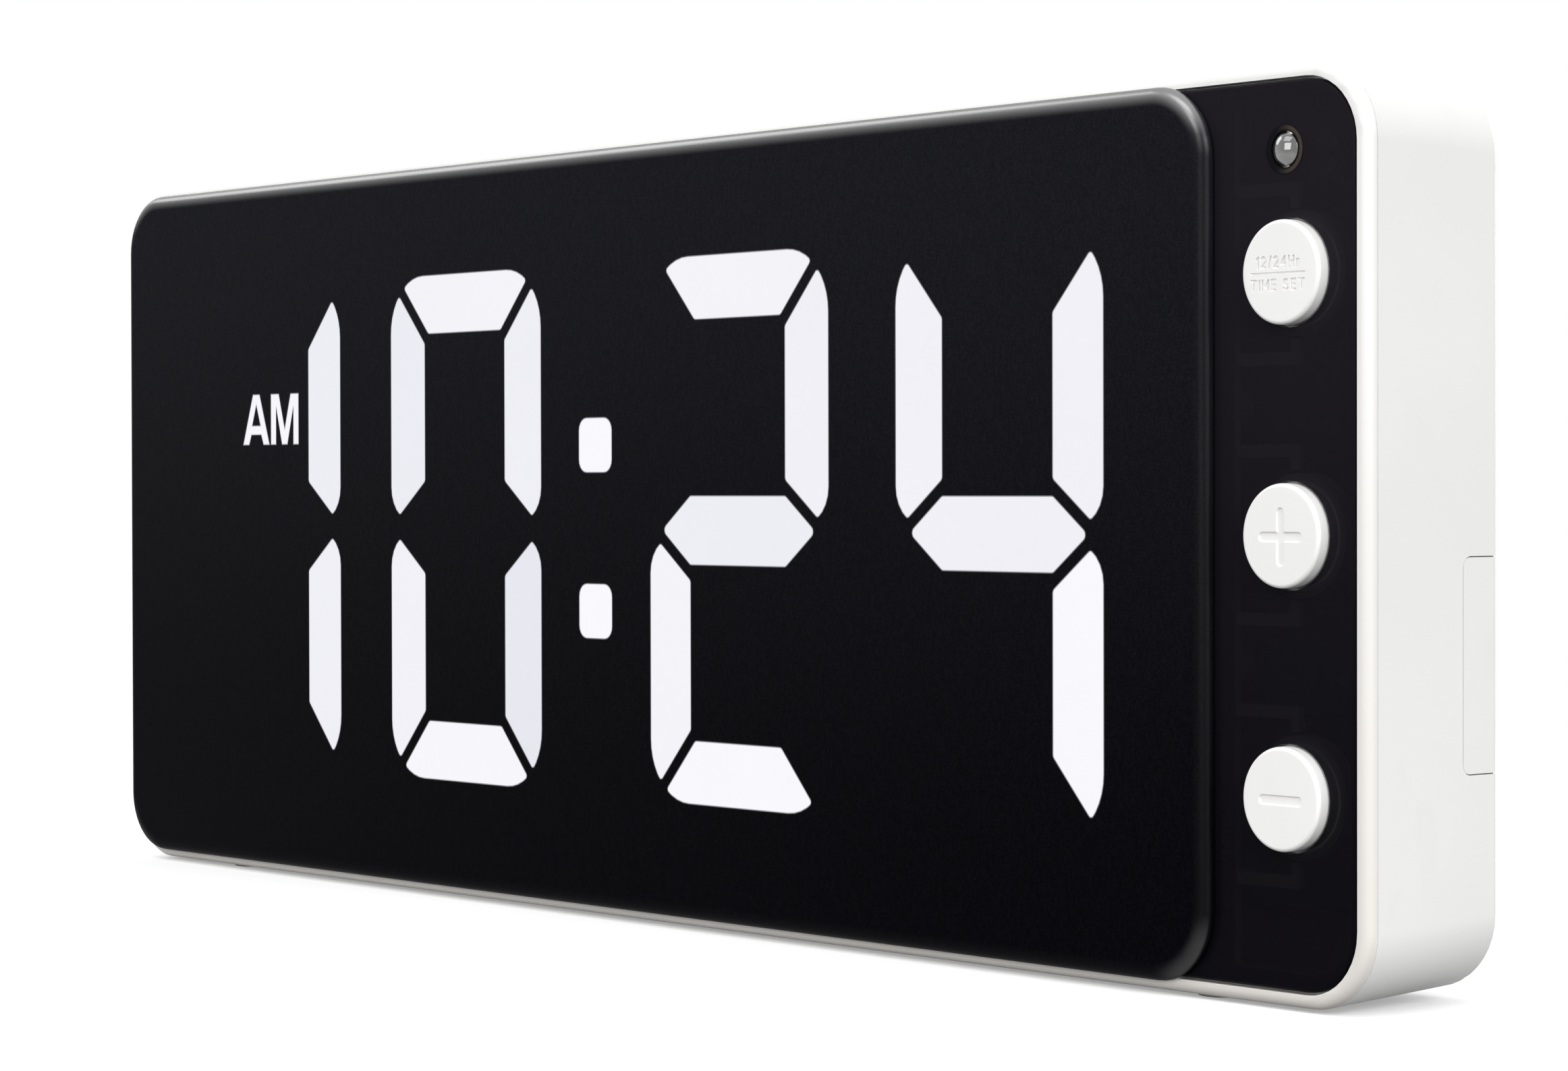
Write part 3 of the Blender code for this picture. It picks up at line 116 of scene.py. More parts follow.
class Finish:
    # one material with its node tree
    def __init__(self, name):
        self.material = bpy.data.materials.new(name)
        self.material.use_nodes = True
        self.tree = self.material.node_tree
        self.tree.nodes.clear()
        self.output = self.tree.nodes.new("ShaderNodeOutputMaterial")
        self.coordinates = self.tree.nodes.new("ShaderNodeTexCoord")

    def node(self, kind, settings=None, inputs=None, output=0):
        made = self.tree.nodes.new(kind)
        for key, value in (settings or {}).items():
            setattr(made, key, value)
        for key, value in (inputs or {}).items():
            if isinstance(value, Sock):
                self.tree.links.new(value.out, made.inputs[key])
            else:
                made.inputs[key].default_value = value
        return Sock(self, made.outputs[output])

    def place(self):
        return Sock(self, self.coordinates.outputs["Object"])

    def axes(self):
        split = self.node("ShaderNodeSeparateXYZ", None, {0: self.place()})
        return [Sock(self, split.out.node.outputs[i]) for i in range(3)]

    def noise(self, scale, detail=2.0, rough=0.5, stretch=(1, 1, 1), shift=(0, 0, 0)):
        mapped = self.node(
            "ShaderNodeMapping", None, {"Vector": self.place(), "Scale": stretch, "Location": shift}
        )
        inputs = {"Vector": mapped, "Scale": scale, "Detail": detail, "Roughness": rough}
        return self.node("ShaderNodeTexNoise", None, inputs)

    def spread(self, value, low, high, toLow=0.0, toHigh=1.0):
        # smooth ramp of a value from low..high to toLow..toHigh
        return self.node(
            "ShaderNodeMapRange",
            {"interpolation_type": "SMOOTHSTEP"},
            {"Value": value, "From Min": low, "From Max": high, "To Min": toLow, "To Max": toHigh},
        )

    def blend(self, amount, first, second):
        return self.node(
            "ShaderNodeMix", {"data_type": "RGBA"}, {0: amount, 6: first, 7: second}, output=2
        )

    def bump(self, height, depth, strength):
        return self.node(
            "ShaderNodeBump", None, {"Height": height, "Distance": depth, "Strength": strength}
        )

    def surface(self, **inputs):
        values = {socketNames[key]: value for key, value in inputs.items()}
        shader = self.node("ShaderNodeBsdfPrincipled", None, values)
        self.tree.links.new(shader.out, self.output.inputs["Surface"])
        return self.material


def rgb(red, green, blue):
    return (red, green, blue, 1.0)


def grey(tone):
    return rgb(tone, tone, tone)


# small helpers for meshes
flatWeight = 80     # how firmly large faces keep their own normal


def placed(name, data):
    thing = bpy.data.objects.new(name, data)
    bpy.context.scene.collection.objects.link(thing)
    return thing


def addPiece(name, mesh, material, body, smoothAngle=None):
    piece = placed(name, mesh)
    mesh.materials.clear()
    mesh.materials.append(material)
    if smoothAngle is not None:
        mesh.shade_smooth()
        mesh.set_sharp_from_angle(angle=math.radians(smoothAngle))
        weighted = piece.modifiers.new("flat faces stay flat", "WEIGHTED_NORMAL")
        weighted.keep_sharp = True
        weighted.weight = flatWeight
    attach(piece, body)
    return piece


def softEdges(piece, width, angle, segments, miter):
    soften = piece.modifiers.new("soft edges", "BEVEL")
    soften.limit_method = "ANGLE"
    soften.angle_limit = math.radians(angle)
    soften.width = width * mm
    soften.segments = segments
    soften.miter_outer = miter


def crispCreases(piece, angle):
    split = piece.modifiers.new("crisp creases", "EDGE_SPLIT")
    split.split_angle = math.radians(angle)
    split.use_edge_sharp = False
    weighted = piece.modifiers.new("flat faces stay flat", "WEIGHTED_NORMAL")
    weighted.weight = flatWeight


def middleAt(low, high, depth):
    return Vector(((low.x + high.x) / 2, depth, (low.z + high.z) / 2))


def meshFrom(bm, name):
    bmesh.ops.recalc_face_normals(bm, faces=bm.faces)
    mesh = bpy.data.meshes.new(name)
    bm.to_mesh(mesh)
    bm.free()
    return mesh


def turnedMesh(name, profile, steps):
    # profile as (radius, depth behind the front), spun about the Y axis
    bm = bmesh.new()
    verts = [bm.verts.new((radius, depth, 0.0)) for radius, depth in profile]
    edges = [bm.edges.new(pair) for pair in zip(verts, verts[1:])]
    bmesh.ops.spin(
        bm,
        geom=verts + edges,
        cent=(0, 0, 0),
        axis=(0, 1, 0),
        angle=math.tau,
        steps=steps,
        use_duplicate=False,
    )
    bmesh.ops.remove_doubles(bm, verts=bm.verts, dist=1e-7)
    return meshFrom(bm, name)


def arcPoints(centre, radius, start, end, steps):
    turns = [math.radians(start + (end - start) * i / steps) for i in range(steps + 1)]
    return [(centre[0] + radius * math.cos(a), centre[1] + radius * math.sin(a)) for a in turns]


def roundedOutline(corners, radii, steps=5):
    # anticlockwise corners in (x, z), each with its own fillet radius
    outline = []
    for i, radius in enumerate(radii):
        here = Vector(corners[i])
        if radius <= 0:
            outline.append(here)
            continue
        before = (Vector(corners[i - 1]) - here).normalized()
        after = (Vector(corners[(i + 1) % len(corners)]) - here).normalized()
        half = before.angle(after) / 2
        centre = here + (before + after).normalized() * (radius / math.sin(half))
        start = here + before * (radius / math.tan(half)) - centre
        turn = math.pi - 2 * half
        if before.cross(after) > 0:
            turn = -turn
        for step in range(steps + 1):
            outline.append(centre + Matrix.Rotation(turn * step / steps, 2) @ start)
    return outline


def insetOutline(outline, distance):
    # moves every point inwards, along the mean normal of its two edges; anticlockwise outlines shrink
    sharpest = 0.35     # keeps the points of very sharp corners from running away
    inset = []
    count = len(outline)
    for i in range(count):
        before = (outline[i] - outline[i - 1]).normalized()
        after = (outline[(i + 1) % count] - outline[i]).normalized()
        normalA = Vector((-before.y, before.x))
        normalB = Vector((-after.y, after.x))
        middle = normalA + normalB
        if middle.length < 1e-6:
            middle = normalA
        middle.normalize()
        inset.append(outline[i] + middle * (distance / max(sharpest, middle.dot(normalA))))
    return inset


def bridge(bm, first, second):
    for i in range(len(first)):
        bm.faces.new((first[i - 1], first[i], second[i], second[i - 1]))


def prismMesh(name, loops, front, back):
    # a closed plate between two depths; the first loop is its edge, the others are holes
    bm = bmesh.new()
    rings = []
    for depth in (front, back):
        edges = []
        for loop in loops:
            ring = [bm.verts.new((p[0], depth, p[1])) for p in loop]
            edges += [bm.edges.new((ring[i - 1], ring[i])) for i in range(len(ring))]
            rings.append(ring)
        bmesh.ops.triangle_fill(bm, edges=edges, use_beauty=True)
    for first, second in zip(rings, rings[len(loops):]):
        bridge(bm, first, second)
    return meshFrom(bm, name)


def carve(mesh, cutterMeshes):
    # takes every cutter away from the mesh and returns what is left
    target = placed("carved", mesh)
    helpers = [target]
    for cutterMesh in cutterMeshes:
        cutter = placed("cutter", cutterMesh)
        cut = target.modifiers.new("cut", "BOOLEAN")
        cut.operation = "DIFFERENCE"
        cut.solver = "EXACT"
        cut.use_self = True
        cut.object = cutter
        helpers.append(cutter)
    bpy.context.view_layer.update()
    graph = bpy.context.evaluated_depsgraph_get()
    carved = bpy.data.meshes.new_from_object(target.evaluated_get(graph), depsgraph=graph)
    for helper in helpers:
        bpy.data.objects.remove(helper)
    bm = bmesh.new()
    bm.from_mesh(carved)
    bmesh.ops.remove_doubles(bm, verts=bm.verts, dist=sliver)
    bmesh.ops.dissolve_degenerate(bm, edges=bm.edges, dist=sliver)
    bm.to_mesh(carved)
    bm.free()
    return carved


print("helpers ready")


# finishes
def mouldedWhite(name, base, grain=2600.0, rough=0.42, depth=0.000012, foot=None):
    # fine spark-eroded mould texture, with a faint uneven tint, soft handling marks and, where a foot
    # tone is given, painted shade at the lower end
    finish = Finish(name)
    cloud = finish.noise(22.0, 3.0, 0.55)
    marks = finish.noise(140.0, 4.0, 0.6, stretch=(1.0, 1.0, 0.5), shift=(0.3, 0.1, 0.2))
    grainNoise = finish.noise(grain, 2.0, 0.6)
    shade = [c * 0.965 for c in base]
    colour = finish.blend(finish.spread(cloud, 0.35, 0.68), rgb(*shade), rgb(*base))
    smudge = finish.spread(marks, 0.56, 0.74, 0.0, 0.35)
    colour = finish.blend(smudge, colour, rgb(*[c * 0.972 for c in shade]))
    if foot:  # painted shade: the lower end is darker and warmer, standing in for less light falling there
        _, _, up = finish.axes()
        colour = finish.blend(finish.spread(up, 0.0, 0.105), rgb(*foot), colour)
    roughness = rough + finish.spread(cloud, 0.3, 0.7) * 0.06 + smudge * 0.12
    normal = finish.bump(grainNoise, depth, 0.55)
    return finish.surface(colour=colour, roughness=roughness, specular=0.42, normal=normal)


paintedSheenHeights = (0.004, 0.112)      # heights between which both dark fronts grow lighter, a painted sheen standing in for light reflected from above
# width of the polished rim, where its upper run begins and is full, and how polished each part is
lensLook = {"corner": 9.2, "rim": 2.4, "upper": (6.5, 2.5), "side": 0.015, "bend": 0.12, "top": 0.9}


def smokedLens(name):
    # satin smoked acrylic: a fine woven sparkle, a painted sheen that makes it a little lighter towards
    # the top, with a polished rim
    finish = Finish(name)
    across, _, up = finish.axes()
    sparkle = finish.noise(5200.0, 1.0)
    weave = finish.noise(1.0, 1.0, stretch=(2600.0, 2600.0, 700.0))
    wipe = finish.noise(9.0, 4.0, 0.6, stretch=(1.0, 1.0, 2.2))
    low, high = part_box("display_lens")
    corner = lensLook["corner"] * mm
    middle = (low + high) / 2
    half = (high - low) / 2
    overX = ((across - middle.x).size() - (half.x - corner)).atLeast(0.0)
    overZ = ((up - middle.z).size() - (half.z - corner)).atLeast(0.0)
    inside = corner - (overX * overX + overZ * overZ) ** 0.5  # distance in from the outline
    rim = 1.0 - finish.spread(inside, 0.0, lensLook["rim"] * mm)
    upper = finish.spread(up, *(high.z - below * mm for below in lensLook["upper"]))
    turned = finish.spread(overX, 0.0, 0.5 * corner) * finish.spread(overZ, 0.0, 0.5 * corner)
    side, bend, top = (lensLook[key] for key in ("side", "bend", "top"))
    polish = rim * (side + turned * bend + upper * (top - side + turned * (1 - top - bend)))
    # painted sheen: the dark colour grows lighter towards the top, standing in for light reflected from
    # above
    lift = finish.spread(up, *paintedSheenHeights)
    deep = finish.blend(lift, rgb(0.0010, 0.0009, 0.0017), rgb(0.0085, 0.0087, 0.0112))
    bright = finish.blend(lift, rgb(0.0030, 0.0027, 0.0044), rgb(0.0130, 0.0133, 0.0166))
    speck = finish.spread(sparkle * 0.75 + weave * 0.25, 0.38, 0.66)
    colour = finish.blend(speck, deep, bright)
    roughness = 0.30 + finish.spread(wipe, 0.35, 0.7) * 0.05 + speck * 0.05
    return finish.surface(
        colour=colour,
        roughness=roughness,
        specular=0.008,
        coat=polish * (0.9 + finish.spread(wipe, 0.3, 0.7) * 0.1),
        coatRoughness=0.30,
        coatIor=3.6,
        normal=finish.bump(sparkle, 0.000004, 0.25),
    )


def smokedStrip(name):
    # polished smoked acrylic that lets a little of what is behind it through
    finish = Finish(name)
    dust = finish.noise(1900.0, 1.0)
    grain = finish.noise(5200.0, 1.0)
    cloud = finish.noise(30.0, 3.0)
    _, _, up = finish.axes()
    speck = finish.spread(grain, 0.45, 0.75, 0.0, 0.5)
    mote = finish.spread(dust, 0.70, 0.80, 0.0, 0.5)
    # painted sheen: the colour grows lighter towards the top, standing in for light reflected from above
    lift = finish.spread(up, *paintedSheenHeights)
    colour = finish.blend(lift, rgb(0.0038, 0.0031, 0.0052), rgb(0.0170, 0.0145, 0.0195))
    colour = finish.blend(speck, colour, rgb(0.0150, 0.0138, 0.0180))
    colour = finish.blend(mote, colour, rgb(0.020, 0.020, 0.024))
    roughness = 0.10 + finish.spread(cloud, 0.3, 0.7) * 0.05
    return finish.surface(colour=colour, roughness=roughness, specular=0.014, alpha=0.76)


def glowFinish(name):
    # lit segment: brightness and soft edge come from the mesh's own attributes
    finish = Finish(name)
    edge, level = (
        finish.node("ShaderNodeAttribute", {"attribute_name": key}, output=2)
        for key in ("edge", "level")
    )
    cloud = finish.noise(60.0)
    fine = finish.noise(900.0, 1.0)
    soft = finish.spread(edge, 0.0, 1.0)
    bright = level * (0.985 + cloud * 0.03) * (0.99 + fine * 0.02) * soft
    warmth = finish.spread(level, 0.74, 0.96)     # the brighter a segment, the less blue it is
    tint = finish.blend(warmth, rgb(0.955, 0.960, 1.060), rgb(0.985, 0.980, 1.020))
    glow = finish.node("ShaderNodeVectorMath", {"operation": "SCALE"}, {0: tint, "Scale": bright})
    dark = rgb(0.004, 0.004, 0.006)
    return finish.surface(
        colour=dark, roughness=0.35, specular=0.05, glow=glow, glowStrength=1.0, alpha=soft
    )


def plainMoulded(name, base, rough, grain=1800.0, depth=0.00001, metallic=0.0, specular=0.4, vary=0.12):
    # everyday technical finish with uneven tint and roughness
    finish = Finish(name)
    cloud = finish.noise(90.0, 3.0, 0.55)
    fine = finish.noise(grain, 2.0, 0.55)
    low = [c * (1 - vary) for c in base]
    colour = finish.blend(finish.spread(cloud, 0.3, 0.7), rgb(*low), rgb(*base))
    roughness = rough + finish.spread(fine, 0.3, 0.7) * 0.10
    normal = finish.bump(fine, depth, 0.4)
    return finish.surface(
        colour=colour, roughness=roughness, metallic=metallic, specular=specular, normal=normal
    )


def platedSteel(name, base, rough=0.28):
    # plated metal with turning lines and a little dulling
    finish = Finish(name)
    lines = finish.noise(1.0, stretch=(900.0, 6000.0, 900.0))
    dull = finish.noise(420.0, 4.0, 0.6)
    stain = finish.spread(dull, 0.45, 0.72)
    colour = finish.blend(stain, rgb(*base), rgb(*[c * 0.72 for c in base]))
    roughness = rough + stain * 0.18 + finish.spread(lines, 0.3, 0.7) * 0.08
    normal = finish.bump(lines, 0.000006, 0.4)
    return finish.surface(colour=colour, roughness=roughness, metallic=1.0, normal=normal)


def boardFinish(name):
    # solder mask over copper tracks
    finish = Finish(name)
    wave = {"Scale": 150.0, "Distortion": 14.0, "Detail": 1.0, "Detail Scale": 1.2}
    tracks = finish.node(
        "ShaderNodeTexWave", {"bands_direction": "DIAGONAL"}, {"Vector": finish.place(), **wave}
    )
    pads = finish.node(
        "ShaderNodeTexVoronoi", None, {"Vector": finish.place(), "Scale": 260.0, "Randomness": 0.7}
    )
    trackMask = finish.spread(tracks, 0.60, 0.66)
    padMask = 1 - finish.spread(pads, 0.20, 0.24)
    colour = finish.blend(trackMask, rgb(0.012, 0.085, 0.035), rgb(0.028, 0.170, 0.075))
    colour = finish.blend(padMask, colour, rgb(0.62, 0.60, 0.55))
    return finish.surface(
        colour=colour,
        roughness=0.34 - padMask * 0.08,
        metallic=padMask * 0.9,
        specular=0.5,
        normal=finish.bump(trackMask, 0.00002, 0.5),
    )


def cellFinish(name):
    # printed jacket: dark body with a pale band near each positive end
    finish = Finish(name)
    scuff = finish.noise(300.0, 4.0, 0.6, stretch=(0.3, 1.0, 1.0))
    band = finish.node("ShaderNodeTexWave", None, {"Vector": finish.place(), "Scale": 3.6})
    bandMask = finish.spread(band, 0.90, 0.91)
    worn = finish.spread(scuff, 0.62, 0.76, 0.0, 0.5)
    colour = finish.blend(bandMask, rgb(0.030, 0.034, 0.045), rgb(0.42, 0.43, 0.45))
    colour = finish.blend(worn, colour, rgb(0.16, 0.16, 0.17))
    return finish.surface(
        colour=colour,
        roughness=0.26 + worn * 0.3,
        specular=0.5,
        metallic=0.15,
        normal=finish.bump(scuff, 0.00001, 0.2),
    )


shellTone = (0.865, 0.862, 0.853)
caseWhite = mouldedWhite("caseWhite", shellTone)
# painted shade: the bezel's foot tone darkens and warms its lower end
bezelWhite = mouldedWhite("bezelWhite", shellTone, foot=(0.765, 0.735, 0.695))
jointWhite = mouldedWhite("jointWhite", (0.845, 0.835, 0.815), rough=0.55)
buttonWhite = mouldedWhite("buttonWhite", (0.935, 0.931, 0.921), grain=3600.0, rough=0.38, depth=0.000007)
innerWhite = mouldedWhite("innerWhite", (0.80, 0.795, 0.78), rough=0.5)
lensBlack = smokedLens("lensBlack")
stripSmoke = smokedStrip("stripSmoke")
segmentGlow = glowFinish("segmentGlow")
lightBoxWhite = plainMoulded("lightBoxWhite", (0.84, 0.84, 0.83), 0.55, vary=0.04)
filmBlack = plainMoulded("filmBlack", (0.012, 0.012, 0.013), 0.55, grain=4000.0)
boardGreen = boardFinish("boardGreen")
chipBlack = plainMoulded("chipBlack", (0.020, 0.020, 0.021), 0.5)
turnedSteel = platedSteel("turnedSteel", (0.56, 0.56, 0.54))
brightTin = platedSteel("brightTin", (0.72, 0.71, 0.68), rough=0.22)
cellJacket = cellFinish("cellJacket")
footRubber = plainMoulded("footRubber", (0.50, 0.50, 0.49), 0.75, grain=2400.0, depth=0.00002)
wireRed = plainMoulded("wireRed", (0.50, 0.020, 0.020), 0.38, vary=0.2)
wireBlack = plainMoulded("wireBlack", (0.016, 0.016, 0.017), 0.38)
ribbonGrey = plainMoulded("ribbonGrey", (0.46, 0.46, 0.48), 0.45)
print("finishes ready")


# carried-over CAD nodes: a finish each, from the first row that fits, and soft edges where they show
nodeFinish = (
    (bezelWhite, ("front_bezel",)),
    (caseWhite, ("rear_case", "battery_door")),
    (lensBlack, ("display_lens",)),
    (stripSmoke, ("control_panel",)),
    (buttonWhite, ("time_set_button", "plus_", "minus_", "alarm_set_button", "alarm_switch_knob")),
    (innerWhite, ("button_springs",)),
    (filmBlack, ("segment_film",)),
    (lightBoxWhite, ("segment_reflector",)),
    (boardGreen, ("display_board", "control_board")),
    (ribbonGrey, ("board_ribbon",)),
    (brightTin, ("quartz_", "switch_plunger", "alarm_set_plunger", "contact_", "light_sensor")),
    (chipBlack, ("buzzer", "clock_chip", "switch_", "alarm_set_switch")),
    (turnedSteel, ("case_screw", "board_screw", "control_screw", "spring_", "alarm_slide_switch")),
    (cellJacket, ("cell_", "capacitor")),
    (footRubber, ("foot_",)),
    (wireRed, ("lead_positive",)),
    (wireBlack, ("lead_negative",)),
)
edgeSoftness = {
    "front_bezel": 0.10,
    "rear_case": 0.12,
    "battery_door": 0.12,
    "display_lens": 0.05,
    "control_panel": 0.05,
    "alarm_switch_knob": 0.15,
    "alarm_set_button": 0.08,
}

for name, node in nodes.items():
    mesh = node.data
    mesh.materials.clear()
    mesh.materials.append(next(finish for finish, starts in nodeFinish if name.startswith(starts)))
    if "custom_normal" in mesh.attributes:
        mesh.attributes.remove(mesh.attributes["custom_normal"])
    mesh.shade_smooth()
    weld = node.modifiers.new("join facets", "WELD")
    weld.merge_threshold = seam
    if name in edgeSoftness:
        softEdges(node, edgeSoftness[name], 40, 2, "MITER_ARC")
    crispCreases(node, 32)
print("CAD nodes dressed")


# battery door with its edges drawn closer to the case and rounded
doorShape = {
    "closer": 0.16,         # how far the edges are drawn out towards the case
    "edge": 0.22,
    "onFace": 0.01,         # points this near a face of the plate belong to it
    "lugs": 0.5,            # further left than this only the lugs remain, which keep their place
    # the dark sheet of painted shadow in the gap: how far it runs past the door, and its section
    "shadowPast": 0.115,
    "shadowSection": (              # its section, in x and y
        (136.40, 8.00), (137.20, 8.00), (137.09, 11.85), (136.95, 12.30),
        (136.45, 12.60), (60.0, 12.60), (60.0, 11.65), (136.40, 11.65),
    ),
}
# painted shadow: a dark grey for the sheet that stands in for the shade in the door's gap
paintedGapShadow = plainMoulded("paintedGapShadow", (0.16, 0.155, 0.15), 0.6, grain=2600.0)


def closeFittedDoor():
    # the same cover, grown a little towards the case on three sides
    source = nodes["battery_door"].data
    low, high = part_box("battery_door")
    middle = (low.z + high.z) / 2
    halfHeight = (high.z - low.z) / 2
    grow, near = doorShape["closer"] * mm, doorShape["onFace"] * mm
    plateLeft = min(v.co.x for v in source.vertices if abs(abs(v.co.z - middle) - halfHeight) < near)
    bm = bmesh.new()
    bm.from_mesh(source)
    bmesh.ops.remove_doubles(bm, verts=bm.verts, dist=seam)
    bmesh.ops.dissolve_limit(bm, angle_limit=math.radians(1.0), verts=bm.verts, edges=bm.edges)
    for vert in bm.verts:
        if abs(vert.co.x - plateLeft) < near:
            vert.co.x -= grow
        if vert.co.x > plateLeft - doorShape["lugs"] * mm:
            vert.co.z = middle + (vert.co.z - middle) * (1 + grow / halfHeight)
            vert.co.y = high.y - (high.y - vert.co.y) * (1 + grow / (high.y - low.y))
    return meshFrom(bm, "batteryDoor")


doorPiece = addPiece("batteryDoor", closeFittedDoor(), caseWhite, "battery_door")
doorPiece.data.shade_smooth()
softEdges(doorPiece, doorShape["edge"], 50, 3, "MITER_SHARP")
crispCreases(doorPiece, 35)
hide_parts("battery_door")

# painted shadow: a dark sheet set in the gap around the door, standing in for the shade there
low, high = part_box("battery_door")
shadowSection = [(x * mm, y * mm) for x, y in doorShape["shadowSection"]]
past = (doorShape["closer"] + doorShape["shadowPast"]) * mm
bm = bmesh.new()
rings = [[bm.verts.new((x, y, z)) for x, y in shadowSection] for z in (low.z - past, high.z + past)]
for ring in rings:
    bm.faces.new(ring)
bridge(bm, *rings)
addPiece("doorGapShadow", meshFrom(bm, "doorGapShadow"), paintedGapShadow, "battery_door", 30)
print("door fitted")


# bead that fills the joint between the bezel and the case, and the paint behind the strip
jointShape = {"corner": 9.6, "deep": 0.55, "gap": 0.2, "play": 0.015}


def boxOutline(low, high, inset, radii, steps):
    corners = [
        (low.x + inset, low.z + inset),
        (high.x - inset, low.z + inset),
        (high.x - inset, high.z - inset),
        (low.x + inset, high.z - inset),
    ]
    return roundedOutline(corners, radii, steps)


low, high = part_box("front_bezel")
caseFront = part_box("rear_case")[0].y
play = jointShape["play"]
loops = []
for inset in (0.0, jointShape["deep"]):
    loops.append(boxOutline(low, high, inset * mm, [(jointShape["corner"] - inset) * mm] * 4, 14))
mesh = prismMesh("jointBead", loops, caseFront - (jointShape["gap"] - play) * mm, caseFront - play * mm)
addPiece("jointBead", mesh, jointWhite, "case", 30)

# the window is the clear part: how far in from the left, the right and both ends
maskShape = {
    "margin": 0.05, "window": (7.9, 2.0, 1.9), "corner": 7.6, "inner": 5.7, "behind": 0.04, "thick": 0.08
}
low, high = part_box("control_panel")
left, right, ends = (inset * mm for inset in maskShape["window"])
windowLow = Vector((low.x + left, 0, low.z + ends))
windowHigh = Vector((high.x - right, 0, high.z - ends))
corner, inner = maskShape["corner"] * mm, maskShape["inner"] * mm
outer = boxOutline(low, high, maskShape["margin"] * mm, [0.0, corner, corner, 0.0], 10)
window = boxOutline(windowLow, windowHigh, 0.0, [0.0, inner, inner, 0.0], 10)
paintFront = high.y + maskShape["behind"] * mm
paintBack = high.y + (maskShape["behind"] + maskShape["thick"]) * mm
mesh = prismMesh("stripPaint", [outer, window], paintFront, paintBack)
addPiece("stripPaint", mesh, filmBlack, "case", 30)
print("joint and strip paint made")


# push buttons, with their sunk marks
buttonShape = {
    "proud": 0.22,
    "radius": 6.18,
    "edge": 0.50,
    "edgeSteps": 6,
    # radius and depth behind the CAD front: skirt, flange, hollow and stem
    "back": (
        (6.18, 3.1), (7.4, 3.1), (7.4, 5.1), (4.98, 5.1),
        (4.98, 1.6), (2.2, 1.6), (2.2, 4.45), (0.0, 4.45),
    ),
    "grooveLength": 7.0,
    "grooveWidth": 1.27,
    "grooveDepth": 0.22,
    "grooveSlope": 0.19,    # how much narrower a floor is than its mouth, on each side
    "grooveAbove": 0.3,     # how far a cutter stands out of the face
    "markDepth": 0.25,
    "markSlope": 0.06,
    "markAbove": 0.10,
    "markDrop": 0.13,       # marks sit this far below the middle
    "letterWidth": 0.33,
    "letterGap": 0.36,
}


def buttonBlank(name):
    radius, edge, proud = (buttonShape[key] for key in ("radius", "edge", "proud"))
    profile = [(0.0, 0.0)] + arcPoints((radius - edge, edge), edge, -90, 0, buttonShape["edgeSteps"])
    profile += [(r, d + proud) for r, d in buttonShape["back"]]
    return turnedMesh(name, [(r * mm, d * mm) for r, d in profile], 96)


def stadium(length, width, steps=10):
    # a slot outline in (x, z)
    reach = (length - width) / 2
    right = arcPoints((reach, 0.0), width / 2, -90, 90, steps)
    return right + arcPoints((-reach, 0.0), width / 2, 90, 270, steps)


def fillBetween(bm, outlines):
    # closed body through outlines of (x, z) points in mm, each at its own depth
    rings = []
    for depth, outline in outlines:
        rings.append([bm.verts.new((p[0] * mm, depth * mm, p[1] * mm)) for p in outline])
    for end in (rings[0], rings[-1]):
        edges = [bm.edges.new((end[i - 1], end[i])) for i in range(len(end))]
        bmesh.ops.triangle_fill(bm, edges=edges)
    for first, second in zip(rings, rings[1:]):
        bridge(bm, first, second)


def crossOutline(length, width):
    # four round-ended arms as one outline, so that they meet cleanly
    half = width / 2
    arm = [(half, half)] + arcPoints((0.0, length / 2 - half), half, 0, 180, 10)
    turns = [Matrix.Rotation(math.pi / 2 * turn, 2) for turn in range(4)]
    return [turn @ Vector(p) for turn in turns for p in arm]


def signCutter(name, outlineOf):
    # a shallow recess whose floor is narrower than its mouth
    shape = buttonShape
    inset = 2 * shape["grooveSlope"]
    mouth = outlineOf(shape["grooveLength"], shape["grooveWidth"])
    floor = outlineOf(shape["grooveLength"] - inset, shape["grooveWidth"] - inset)
    bm = bmesh.new()
    fillBetween(bm, [(-shape["grooveAbove"], mouth), (0.0, mouth), (shape["grooveDepth"], floor)])
    return meshFrom(bm, name)


